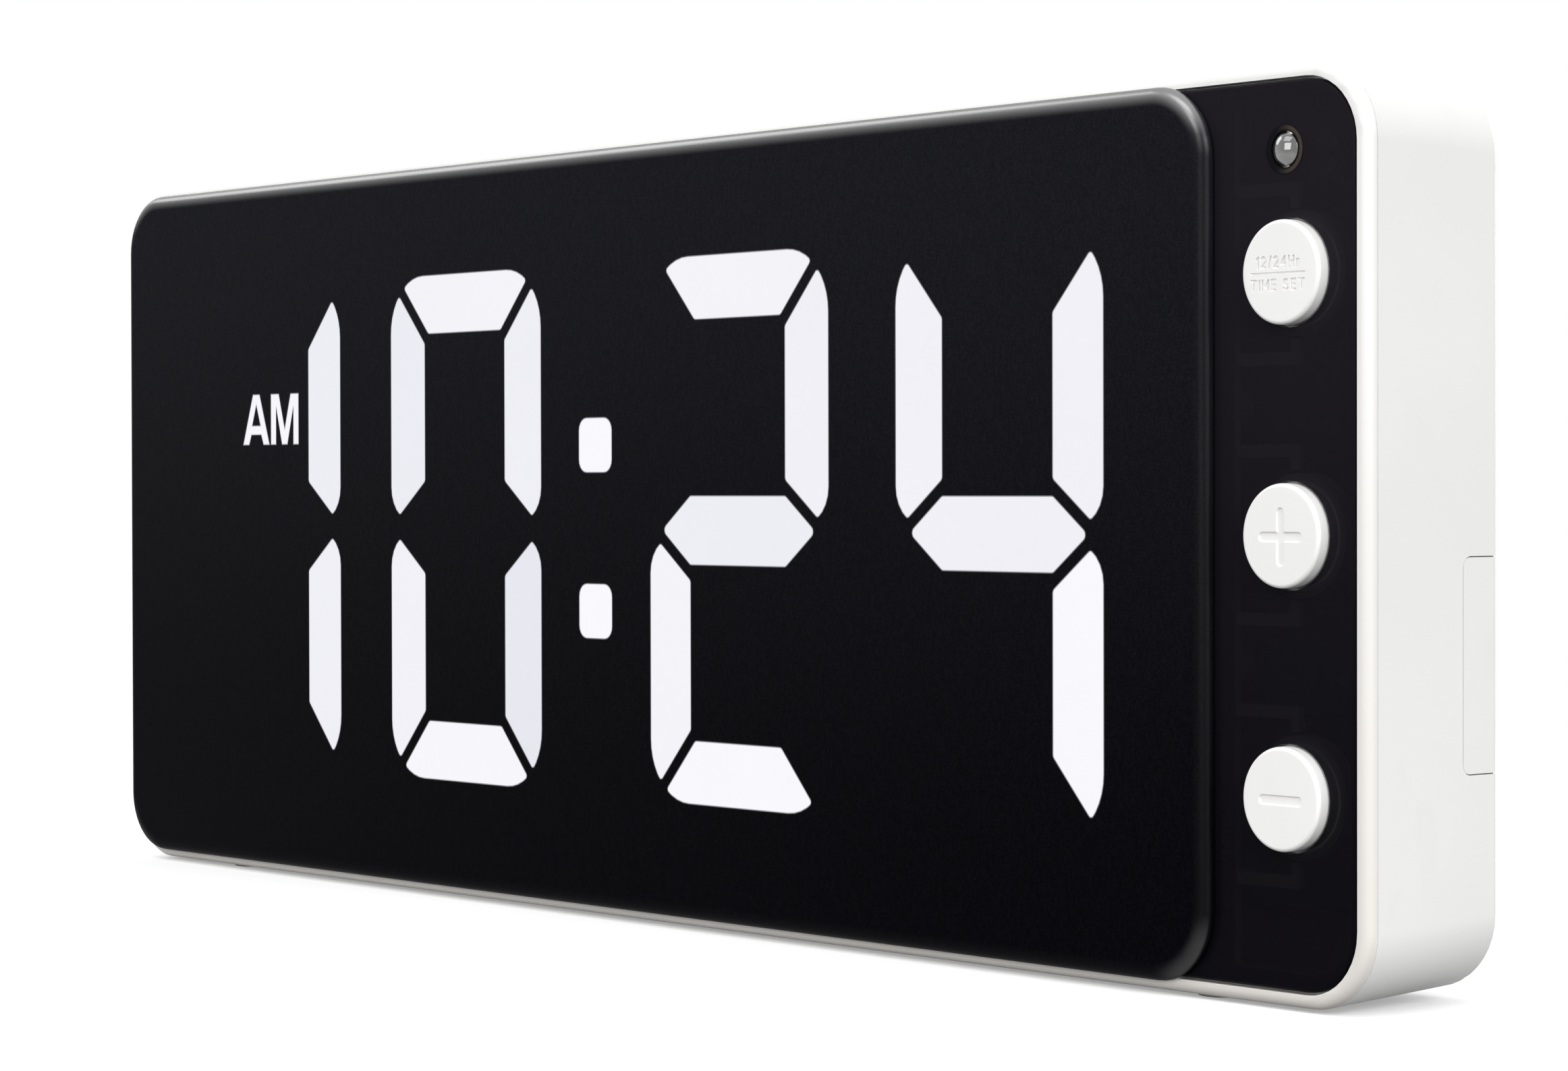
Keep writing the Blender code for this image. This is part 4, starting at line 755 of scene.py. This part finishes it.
# letters as paths of a round tool: the width of each, then its paths, in cap heights
twoBowl = arcPoints((0.275, 0.725), 0.275, 165, -40, 9)
upperBowl = arcPoints((0.27, 0.75), 0.25, 35, 270, 10)
lowerBowl = arcPoints((0.27, 0.25), 0.25, 90, -145, 10)
letters = {
    "1": (0.28, [[(0.0, 0.74), (0.28, 1.0)], [(0.28, 1.0), (0.28, 0.0)]]),
    "2": (0.55, [[*twoBowl, (0.0, 0.0)], [(0.0, 0.0), (0.55, 0.0)]]),
    "/": (0.28, [[(0.0, -0.04), (0.28, 1.04)]]),
    "4": (0.62, [[(0.44, 1.0), (0.0, 0.30)], [(0.0, 0.30), (0.62, 0.30)], [(0.44, 1.0), (0.44, 0.0)]]),
    "H": (0.58, [[(0.0, 0.0), (0.0, 1.0)], [(0.58, 0.0), (0.58, 1.0)], [(0.0, 0.5), (0.58, 0.5)]]),
    "r": (0.30, [[(0.0, 0.0), (0.0, 0.66)], arcPoints((0.23, 0.42), 0.23, 175, 70, 5)]),
    "T": (0.58, [[(0.0, 1.0), (0.58, 1.0)], [(0.29, 1.0), (0.29, 0.0)]]),
    "I": (0.0, [[(0.0, 0.0), (0.0, 1.0)]]),
    "M": (0.66, [
        [(0.0, 0.0), (0.0, 1.0)], [(0.0, 1.0), (0.33, 0.25)],
        [(0.33, 0.25), (0.66, 1.0)], [(0.66, 1.0), (0.66, 0.0)],
    ]),
    "E": (0.48, [
        [(0.0, 0.0), (0.0, 1.0)], [(0.0, 1.0), (0.48, 1.0)],
        [(0.0, 0.5), (0.42, 0.5)], [(0.0, 0.0), (0.48, 0.0)],
    ]),
    "S": (0.54, [upperBowl + lowerBowl[1:]]),
    " ": (0.12, []),
}


def pathOutline(path, half, steps=8):
    # outline of a round-ended groove along a path, up one side and down the other
    outline = []
    for points in (path, path[::-1]):
        for i, point in enumerate(points):
            along = (points[min(i + 1, len(points) - 1)] - points[max(i - 1, 0)]).normalized()
            side = Vector((-along.y, along.x)) * half
            outline.append(point + side)
        for step in range(1, steps):
            outline.append(points[-1] + Matrix.Rotation(-math.pi * step / steps, 2) @ side)
    return outline


def addStroke(bm, path, half):
    # one sunk stroke along a path, with half its width
    shape = buttonShape
    lean = shape["markSlope"] * shape["markAbove"] / shape["markDepth"]
    mouth, floor = pathOutline(path, half + lean), pathOutline(path, half - shape["markSlope"])
    fillBetween(bm, [(-shape["markAbove"], mouth), (shape["markDepth"], floor)])


def letterCutter(words, width, height, middle):
    # one line of letters that fills a width and a height
    shape = buttonShape
    half = shape["letterWidth"] / 2
    span = sum(letters[c][0] for c in words) + shape["letterGap"] * (len(words) - 1)
    across, up = (width - 2 * half) / span, height - 2 * half
    start = -span / 2
    bm = bmesh.new()
    for character in words:
        letterSpan, paths = letters[character]
        for path in paths:
            points = [((start + x) * across + middle[0], (z - 0.5) * up + middle[1]) for x, z in path]
            addStroke(bm, [Vector(p) for p in points], half)
        start += letterSpan + shape["letterGap"]
    return meshFrom(bm, words)


def ruleCutter(width, height, middle):
    # the thin line between two lines of letters
    ends = [Vector((middle[0] + side * (width - height) / 2, middle[1])) for side in (-1, 1)]
    bm = bmesh.new()
    addStroke(bm, ends, height / 2)
    return meshFrom(bm, "rule")


caps = {
    "time_set_button": ("timeSetCap", [
        letterCutter("12/24Hr", 7.2, 1.56, (-0.38, 1.30)),
        ruleCutter(8.95, 0.30, (-0.38, 0.0)),
        letterCutter("TIME SET", 8.8, 1.50, (-0.38, -1.38)),
    ]),
    "plus_button": ("plusCap", [signCutter("cross", crossOutline)]),
    "minus_button": ("minusCap", [signCutter("groove", stadium)]),
}
for nodeName, (capName, cutters) in caps.items():
    low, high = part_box(nodeName)
    for cutter in cutters:
        cutter.transform(Matrix.Translation((0.0, 0.0, -buttonShape["markDrop"] * mm)))
    mesh = carve(buttonBlank(capName), cutters)
    front = low.y - buttonShape["proud"] * mm
    mesh.transform(Matrix.Translation(middleAt(low, high, front)))
    cap = addPiece(capName, mesh, buttonWhite, nodeName, 28)
    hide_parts(nodeName)
print("buttons carved")


# case screws: domed heads with a cross recess
screwShape = {
    "head": 2.6,
    "headDepth": 1.9,
    "rim": 0.9,
    "shank": 1.45,
    "point": 1.4,
    "recessMouth": (3.3, 0.80),     # length and width of its arms
    "recessFloor": (1.5, 0.42),
    "recessDepth": 1.25,
    "recessAbove": 0.2,
    "domeSteps": 6,
}


def crossScrew(name, length):
    # point at the origin, head towards the rear
    shape = screwShape
    head = length - shape["headDepth"]
    wide, thin, rim = shape["head"], shape["shank"], shape["rim"]
    profile = [(0.0, 0.0), (thin, shape["point"]), (thin, head), (wide, head)]
    for radius, height in arcPoints((0.0, 0.0), 1.0, 0, 90, shape["domeSteps"]):
        profile.append((wide * radius, head + rim + (shape["headDepth"] - rim) * height))
    screw = turnedMesh(name, [(max(r, 0.0) * mm, d * mm) for r, d in profile], 48)
    bm = bmesh.new()
    mouth, floor = crossOutline(*shape["recessMouth"]), crossOutline(*shape["recessFloor"])
    fillBetween(bm, [(length + shape["recessAbove"], mouth), (length - shape["recessDepth"], floor)])
    return carve(screw, [meshFrom(bm, "recess")])


for row in ("bottom", "top"):
    for column in ("left", "middle", "right"):
        nodeName = f"case_screw_{row}_{column}"
        low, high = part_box(nodeName)
        mesh = crossScrew("screw", (high.y - low.y) / mm)
        mesh.transform(Matrix.Translation(middleAt(low, high, low.y)))
        screw = addPiece(f"{row}{column.title()}Screw", mesh, turnedSteel, "case", 30)
        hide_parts(nodeName)
print("screws turned")


# lit segments
display = {
    "middles": (-92.5, -39.7, 24.95, 77.2),   # the four digits, across
    "halfWidth": 19.35,
    "halfHeight": 37.88,
    "waist": 0.54,          # height of the middle bar above the display's zero
    "upright": 9.05,
    "bar": 8.75,
    "middleBar": 9.54,
    "corner": 8.6,          # outer corners of the whole digit
    "waistCorner": 5.0,
    "waistCornerUp": 1.05,  # its start above the middle of the digit
    "gap": 1.72,
    "mitre": 47.4,          # slope of the corner gaps, degrees
    "mitreAt": (0.48, 9.48),    # a point of theirs: in from the upright, down from the top
    "waistSlope": 37.0,
    "waistUp": 1.1,         # waist gaps meet the upright this far above the middle bar
    "sharp": 0.5,           # rounding of the outer tips
    "blunt": 0.8,           # rounding of the inner corners
    "lip": 0.17,            # soft edge inside the true outline
    "spill": 0.22,          # and outside it
    "outlineTone": 0.55,    # how bright the edge is on the outline itself
    "proud": 0.03,
    "sunk": 0.10,
}
zeroHeight = cadBox[0].z + 55.15 * mm   # the display's own zero


def slopeLine(through, degrees, shift):
    # a line as (point, direction), moved sideways by shift
    angle = math.radians(degrees)
    direction = Vector((math.cos(angle), math.sin(angle)))
    return Vector(through) + Vector((-direction.y, direction.x)) * shift, direction


def lineAt(line, across=None, height=None):
    point, direction = line
    if across is not None:
        return point + direction * ((across - point.x) / direction.x)
    return point + direction * ((height - point.y) / direction.y)


def lineOnCircle(line, centre, radius):
    # where the line leaves the circle
    point, direction = line
    away = point - Vector(centre)
    along = away.dot(direction)
    reach = math.sqrt(along * along - away.length_squared + radius * radius)
    return point + direction * (reach - along)


def arcBetween(centre, radius, start, end, steps):
    centre = Vector(centre)
    first, last = (math.degrees(math.atan2(p.y - centre.y, p.x - centre.x)) for p in (start, end))
    return [Vector(p) for p in arcPoints(centre, radius, first, last, steps)]


def tipped(outline):
    # inner corners blunt, the outer tips beside them sharp
    radii = [0.0] * len(outline)
    radii[0] = radii[-1] = display["blunt"]
    radii[1] = radii[-2] = display["sharp"]
    return roundedOutline(outline, radii)


def segmentOutlines():
    # one digit about its own middle, from its upper right quarter; anticlockwise outlines
    digit = display
    wide, high = digit["halfWidth"], digit["halfHeight"]
    inner = wide - digit["upright"]
    half = digit["gap"] / 2
    corner = (wide - digit["corner"], high - digit["corner"])
    waistCorner = (wide - digit["waistCorner"], digit["waistCorner"] + digit["waistCornerUp"])
    mitreThrough = (inner - digit["mitreAt"][0], high - digit["mitreAt"][1])
    waistThrough = (inner, digit["middleBar"] / 2 + digit["waistUp"])

    below = slopeLine(mitreThrough, digit["mitre"], -half)     # edge of the upright at the corner gap
    above = slopeLine(mitreThrough, digit["mitre"], half)      # edge of the bar there
    upper = slopeLine(waistThrough, -digit["waistSlope"], half)
    lower = slopeLine(waistThrough, -digit["waistSlope"], -half)

    waistTip = lineOnCircle(upper, waistCorner, digit["waistCorner"])
    cornerTip = lineOnCircle(below, corner, digit["corner"])
    side = Vector((wide, 0))
    upright = [lineAt(upper, across=inner)]
    waistEnd, cornerEnd = (side + Vector((0, start)) for start in (waistCorner[1], corner[1]))
    upright += arcBetween(waistCorner, digit["waistCorner"], waistTip, waistEnd, 4)
    upright += arcBetween(corner, digit["corner"], cornerEnd, cornerTip, 5)
    upright = tipped(upright + [lineAt(below, across=inner)])

    barTip = lineOnCircle(above, corner, digit["corner"])
    top = arcBetween(corner, digit["corner"], barTip, Vector((corner[0], high)), 4)
    foot = lineAt(above, height=high - digit["bar"])
    rightHalf = [foot] + top
    bar = tipped(rightHalf + [Vector((-p.x, p.y)) for p in rightHalf[::-1]])

    shoulder = lineAt(lower, height=digit["middleBar"] / 2)
    tip = lineAt(lower, height=0.0)
    quarter = [shoulder, Vector((-shoulder.x, shoulder.y)), -tip]
    middle = roundedOutline(quarter + [-p for p in quarter], [digit["blunt"]] * 6)

    def mirrored(outline, x, z):
        turned = [Vector((p.x * x, p.y * z)) for p in outline]
        return turned if x * z > 0 else turned[::-1]

    shapes = {
        "a": bar,
        "b": upright,
        "c": mirrored(upright, 1, -1),
        "d": mirrored(bar, 1, -1),
        "e": mirrored(upright, -1, -1),
        "f": mirrored(upright, -1, 1),
        "g": middle,
    }
    return {key: [Vector((p.x, p.y + digit["waist"])) for p in shape] for key, shape in shapes.items()}


def glowMesh(name, shapes):
    # shapes: list of (loops in mm, level); each is a thin closed plate whose front fades out at its rim
    bm = bmesh.new()
    edgeLayer = bm.verts.layers.float.new("edge")
    levelLayer = bm.verts.layers.float.new("level")
    front = lensFront - display["proud"] * mm
    back = lensFront + display["sunk"] * mm

    def addRing(loop, depth, edge, level):
        ring = []
        for p in loop:
            vert = bm.verts.new((p[0] * mm, depth, p[1] * mm + zeroHeight))
            vert[edgeLayer] = edge
            vert[levelLayer] = level
            ring.append(vert)
        return ring

    for loops, level in shapes:
        ends = [], []
        for index, loop in enumerate(loops):
            sign = 1.0 if index == 0 else -1.0
            outer = insetOutline(loop, -display["spill"] * sign)
            inner = insetOutline(loop, display["lip"] * sign)
            rings = [
                addRing(outer, back, 0.0, level),
                addRing(outer, front, 0.0, level),
                addRing(loop, front, display["outlineTone"], level),
                addRing(inner, front, 1.0, level),
            ]
            for first, second in zip(rings, rings[1:]):
                bridge(bm, first, second)
            for edges, ring in zip(ends, (rings[-1], rings[0])):
                edges.extend(bm.edges.get((ring[i - 1], ring[i])) for i in range(len(ring)))
        for edges in ends:
            bmesh.ops.triangle_fill(bm, edges=edges, use_beauty=True)
    return meshFrom(bm, name)


# which segments are lit, and how bright each one is
litDigits = {
    "glowHourTens": (0, {"b": 0.855, "c": 0.870}),
    "glowHourUnits": (1, {"a": 0.900, "b": 0.868, "c": 0.815, "d": 0.925, "e": 0.885, "f": 0.850}),
    "glowMinuteTens": (2, {"a": 0.905, "b": 0.880, "g": 0.860, "e": 0.905, "d": 0.945}),
    "glowMinuteUnits": (3, {"f": 0.888, "b": 0.885, "g": 0.880, "c": 0.950}),
}
segments = segmentOutlines()
for name, (place, lit) in litDigits.items():
    middle = display["middles"][place]
    shapes = []
    for key, level in lit.items():
        shapes.append(([[Vector((p.x + middle, p.y)) for p in segments[key]]], level))
    addPiece(name, glowMesh(name, shapes), segmentGlow, "case")

colon = {"x": -7.245, "z": (12.54, -11.15), "width": 7.75, "height": 7.78, "radius": 1.8, "level": 0.95}


def colonOutline(z):
    wide, high = colon["width"] / 2, colon["height"] / 2
    corners = [(-wide, -high), (wide, -high), (wide, high), (-wide, high)]
    outline = roundedOutline(corners, [colon["radius"]] * 4)
    return [Vector((p.x + colon["x"], p.y + z)) for p in outline]


shapes = [([colonOutline(z)], colon["level"]) for z in colon["z"]]
addPiece("glowColon", glowMesh("glowColon", shapes), segmentGlow, "case")

# the morning sign, in mm from its lower left corner; the second outline of a letter is a hole
morning = {
    "corner": (-101.4, 13.4),
    "level": 0.93,
    "A": (
        (
            (0.0, 0.0), (1.7496, 0.0), (2.444544, 1.6), (5.355456, 1.6),
            (6.0504, 0.0), (7.8, 0.0), (4.872, 8.0), (2.928, 8.0),
        ),
        ((3.9, 6.4), (2.6542086, 3.0256), (5.1457914, 3.0256)),
    ),
    "M": (
        (
            (8.25, 0.0), (9.7404, 0.0), (9.7404, 6.08), (11.4974, 0.0), (13.0526, 0.0),
            (14.8096, 6.08), (14.8096, 0.0), (16.3, 0.0), (16.3, 8.0), (13.9996, 8.0),
            (12.275, 2.4), (10.5504, 8.0), (8.25, 8.0),
        ),
    ),
}
left, low = morning["corner"]
signs = []
for letter in "AM":
    outlines = [[Vector((left + x, low + z)) for x, z in outline] for outline in morning[letter]]
    signs.append((outlines, morning["level"]))
addPiece("glowMorningSign", glowMesh("glowMorningSign", signs), segmentGlow, "case")
print("display lit")


# light sensor: clear dome with its frame inside
sensorShape = {
    "radius": 2.5,
    "flange": 2.9,
    "flangeDeep": 1.0,
    "domeSteps": 18,
    # radius and depth, from the middle of the cup round to its back
    "cup": ((0.0, 2.4), (0.45, 2.3), (1.0, 1.6), (1.15, 1.5), (1.27, 1.6), (1.27, 3.1), (0.0, 3.1)),
    "posts": ((-0.62, 0.9, 3.5), (0.95, 0.5, 2.4)),     # place, width and top of each
    "postDeep": 0.52,
    "postFoot": 0.1,
    "postEdge": 0.08,
    # a flat ring with painted light, standing for the lit edge of the sensor's hole:
    "halo": (3.0, 2.17),
    "haloFaces": (0.02, 0.005),     # in front of the strip
    "haloStart": (2.25, 2.45),      # radii between which the halo's light comes in,
    "haloEnd": (2.7, 2.95),         # and goes out again
    "haloSide": (-1.6, 1.8),        # and from its dim side to the bright one
}


def clearEpoxy(name):
    finish = Finish(name)
    swirl = finish.noise(700.0)
    return finish.surface(
        colour=rgb(0.52, 0.50, 0.47),
        roughness=0.03 + finish.spread(swirl, 0.3, 0.7) * 0.04,
        transmission=1.0,
        ior=1.50,
        coat=1.0,
        coatRoughness=0.06,
        coatIor=2.1,
        normal=finish.bump(swirl, 0.00001, 0.08),
    )


def paintedHoleEdgeLight(name, centre):
    # painted light: a flat brownish ring standing in for the lit edge of the sensor's hole seen through
    # the strip, brighter on the side that faces away from the lens
    finish = Finish(name)
    across, _, up = finish.axes()
    overX = across - centre.x
    overZ = up - centre.z
    reach = (overX * overX + overZ * overZ) ** 0.5
    grain = finish.noise(5200.0, 1.0)
    starting, ending, side = (
        finish.spread(value, *(edge * mm for edge in sensorShape[key]))
        for value, key in ((reach, "haloStart"), (reach, "haloEnd"), (overX, "haloSide"))
    )
    # painted light: the ring's colour is lit between those radii, on its far side
    lit = (starting - ending) * side * (0.7 + grain * 0.5)
    colour = finish.blend(lit, rgb(0.006, 0.006, 0.008), rgb(0.062, 0.050, 0.042))
    normal = finish.bump(grain, 0.000003, 0.2)
    return finish.surface(colour=colour, roughness=0.3, specular=0.02, normal=normal)


epoxyClear = clearEpoxy("epoxyClear")
cupGrey = plainMoulded("cupGrey", (0.055, 0.052, 0.048), 0.35, grain=1800.0)
low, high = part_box("light_sensor")
sensorAt = middleAt(low, high, low.y)
deep = (high.y - low.y) / mm
radius, flange = sensorShape["radius"], sensorShape["flange"]
flangeFront = deep - sensorShape["flangeDeep"]
profile = arcPoints((0.0, radius), radius, -90, 0, sensorShape["domeSteps"])
profile += [(radius, flangeFront), (flange, flangeFront), (flange, deep), (0.0, deep)]
mesh = turnedMesh("sensorDome", [(max(0.0, r) * mm, d * mm) for r, d in profile], 64)
mesh.transform(Matrix.Translation(sensorAt))
dome = addPiece("sensorDome", mesh, epoxyClear, "case", 30)
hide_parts("light_sensor")

mesh = turnedMesh("sensorCup", [(r * mm, d * mm) for r, d in sensorShape["cup"]], 40)
mesh.transform(Matrix.Translation(sensorAt))
addPiece("sensorCup", mesh, cupGrey, "case", 30)

bm = bmesh.new()
for x, width, top in sensorShape["posts"]:
    middle = Matrix.Translation(sensorAt + Vector((x * mm, (top + deep) / 2 * mm, 0.0)))
    height = deep - top - sensorShape["postFoot"]
    size = Matrix.Diagonal((width * mm, height * mm, sensorShape["postDeep"] * mm, 1.0))
    bmesh.ops.create_cube(bm, size=1.0, matrix=middle @ size)
bmesh.ops.bevel(bm, geom=list(bm.edges), offset=sensorShape["postEdge"] * mm, segments=2, affect="EDGES")
addPiece("sensorFrame", meshFrom(bm, "sensorFrame"), turnedSteel, "case", 30)

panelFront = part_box("control_panel")[0].y
loops = [arcPoints((sensorAt.x, sensorAt.z), r * mm, 0, 360, 64)[:-1] for r in sensorShape["halo"]]
mesh = prismMesh("sensorHalo", loops, *(panelFront - face * mm for face in sensorShape["haloFaces"]))
addPiece("sensorHalo", mesh, paintedHoleEdgeLight("paintedHoleEdgeLight", sensorAt), "case", 30)
print("sensor built")


# stage, light and camera
stage = {
    "near": 0.22,
    "far": 0.50,
    "paper": (0.84, 0.87),
    "bounce": 0.17,     # tone of the paper as dull surfaces see it
    "lift": 0.30,       # light of its own near the clock, as the camera sees it
    "world": 0.60,      # light of the world for dull surfaces; the camera sees 1
    "radius": 6.0,
    "drop": 0.05,
}


def stageWhite(name):
    # pale paper near the clock, running out into plain white further off
    finish = Finish(name)
    x, y, _ = finish.axes()
    distance = (x * x + y * y) ** 0.5
    cloud = finish.noise(3.0)
    far = finish.spread(distance, stage["near"], stage["far"])
    path = finish.node("ShaderNodeLightPath").out.node.outputs
    camera, glossy, through = (
        Sock(finish, path[f"Is {kind} Ray"]) for kind in ("Camera", "Glossy", "Transmission")
    )
    seen = camera.atLeast(glossy).atLeast(through)
    paper = finish.blend(cloud, *(grey(tone) for tone in stage["paper"]))
    paper = finish.blend(seen, grey(stage["bounce"]), paper)
    paper = finish.blend(far, paper, grey(0))
    lift = finish.blend(far, grey(stage["lift"]), grey(1))
    lift = finish.blend(seen, grey(0), lift)
    return finish.surface(colour=paper, roughness=0.9, specular=0.0, glow=lift, glowStrength=1.0)


bm = bmesh.new()
bmesh.ops.create_circle(bm, cap_ends=True, cap_tris=True, segments=96, radius=stage["radius"])
floor = placed("floor", meshFrom(bm, "floor"))
floor.data.materials.append(stageWhite("stageWhite"))
floor.location.z = cadBox[0].z - stage["drop"] * mm

world = bpy.data.worlds.new("studio")
bpy.context.scene.world = world
world.use_nodes = True
tree = world.node_tree
tree.nodes.clear()
output = tree.nodes.new("ShaderNodeOutputWorld")
background = tree.nodes.new("ShaderNodeBackground")
lightPath = tree.nodes.new("ShaderNodeLightPath")
seen = lightPath.outputs["Is Camera Ray"]
for kind in ("Glossy", "Transmission"):
    either = tree.nodes.new("ShaderNodeMath")
    either.operation = "MAXIMUM"
    tree.links.new(seen, either.inputs[0])
    tree.links.new(lightPath.outputs[f"Is {kind} Ray"], either.inputs[1])
    seen = either.outputs[0]
brightness = tree.nodes.new("ShaderNodeMapRange")
brightness.inputs["To Min"].default_value = stage["world"]
brightness.inputs["To Max"].default_value = 1.0
tree.links.new(seen, brightness.inputs["Value"])
background.inputs["Color"].default_value = grey(1.0)
tree.links.new(brightness.outputs[0], background.inputs["Strength"])
tree.links.new(background.outputs[0], output.inputs["Surface"])

lamps = {
    "keyBox": {"at": (0.0, -0.55, 0.90), "size": (0.62, 0.46), "power": 1.6},
    "leftBox": {"at": (-0.95, -0.30, 0.75), "size": (0.55, 0.55), "power": 2.2},
    "frontBox": {"at": (0.25, -1.20, 0.45), "size": (0.8, 0.8), "power": 6.6},
    "sideBox": {"at": (1.05, -0.20, 0.40), "size": (0.6, 0.6), "power": 6.7},
    "rearBox": {"at": (-0.35, 0.95, 0.25), "size": (0.8, 0.5), "power": 5.2},
}
aim = Vector((0.0, 0.0, 0.05))
for name, facts in lamps.items():
    lamp = bpy.data.lights.new(name, "AREA")
    lamp.shape = "RECTANGLE"
    lamp.size, lamp.size_y = facts["size"]
    lamp.energy = facts["power"]
    holder = placed(name, lamp)
    holder.location = facts["at"]
    holder.rotation_euler = (aim - holder.location).to_track_quat("-Z", "Y").to_euler()

cameraFacts = {
    "lens": 92.16,
    "at": (451.2, -355.9, 61.85),
    "right": (0.6361, 0.7716, -0.0022),
    "down": (0.0082, -0.0096, -0.9999),
    "forward": (-0.7716, 0.6360, -0.0124),
}
lens = bpy.data.cameras.new("camera")
lens.lens = cameraFacts["lens"]
lens.sensor_width = 36.0
lens.clip_start = 0.01
lens.clip_end = 50.0
camera = placed("camera", lens)
right, down, forward = (Vector(cameraFacts[k]) for k in ("right", "down", "forward"))
turn = Matrix((right, -down, -forward)).transposed().to_4x4()
camera.matrix_world = Matrix.Translation(Vector(cameraFacts["at"]) * mm) @ turn
bpy.context.scene.camera = camera

bpy.context.scene.view_settings.view_transform = "Standard"
print("stage set")
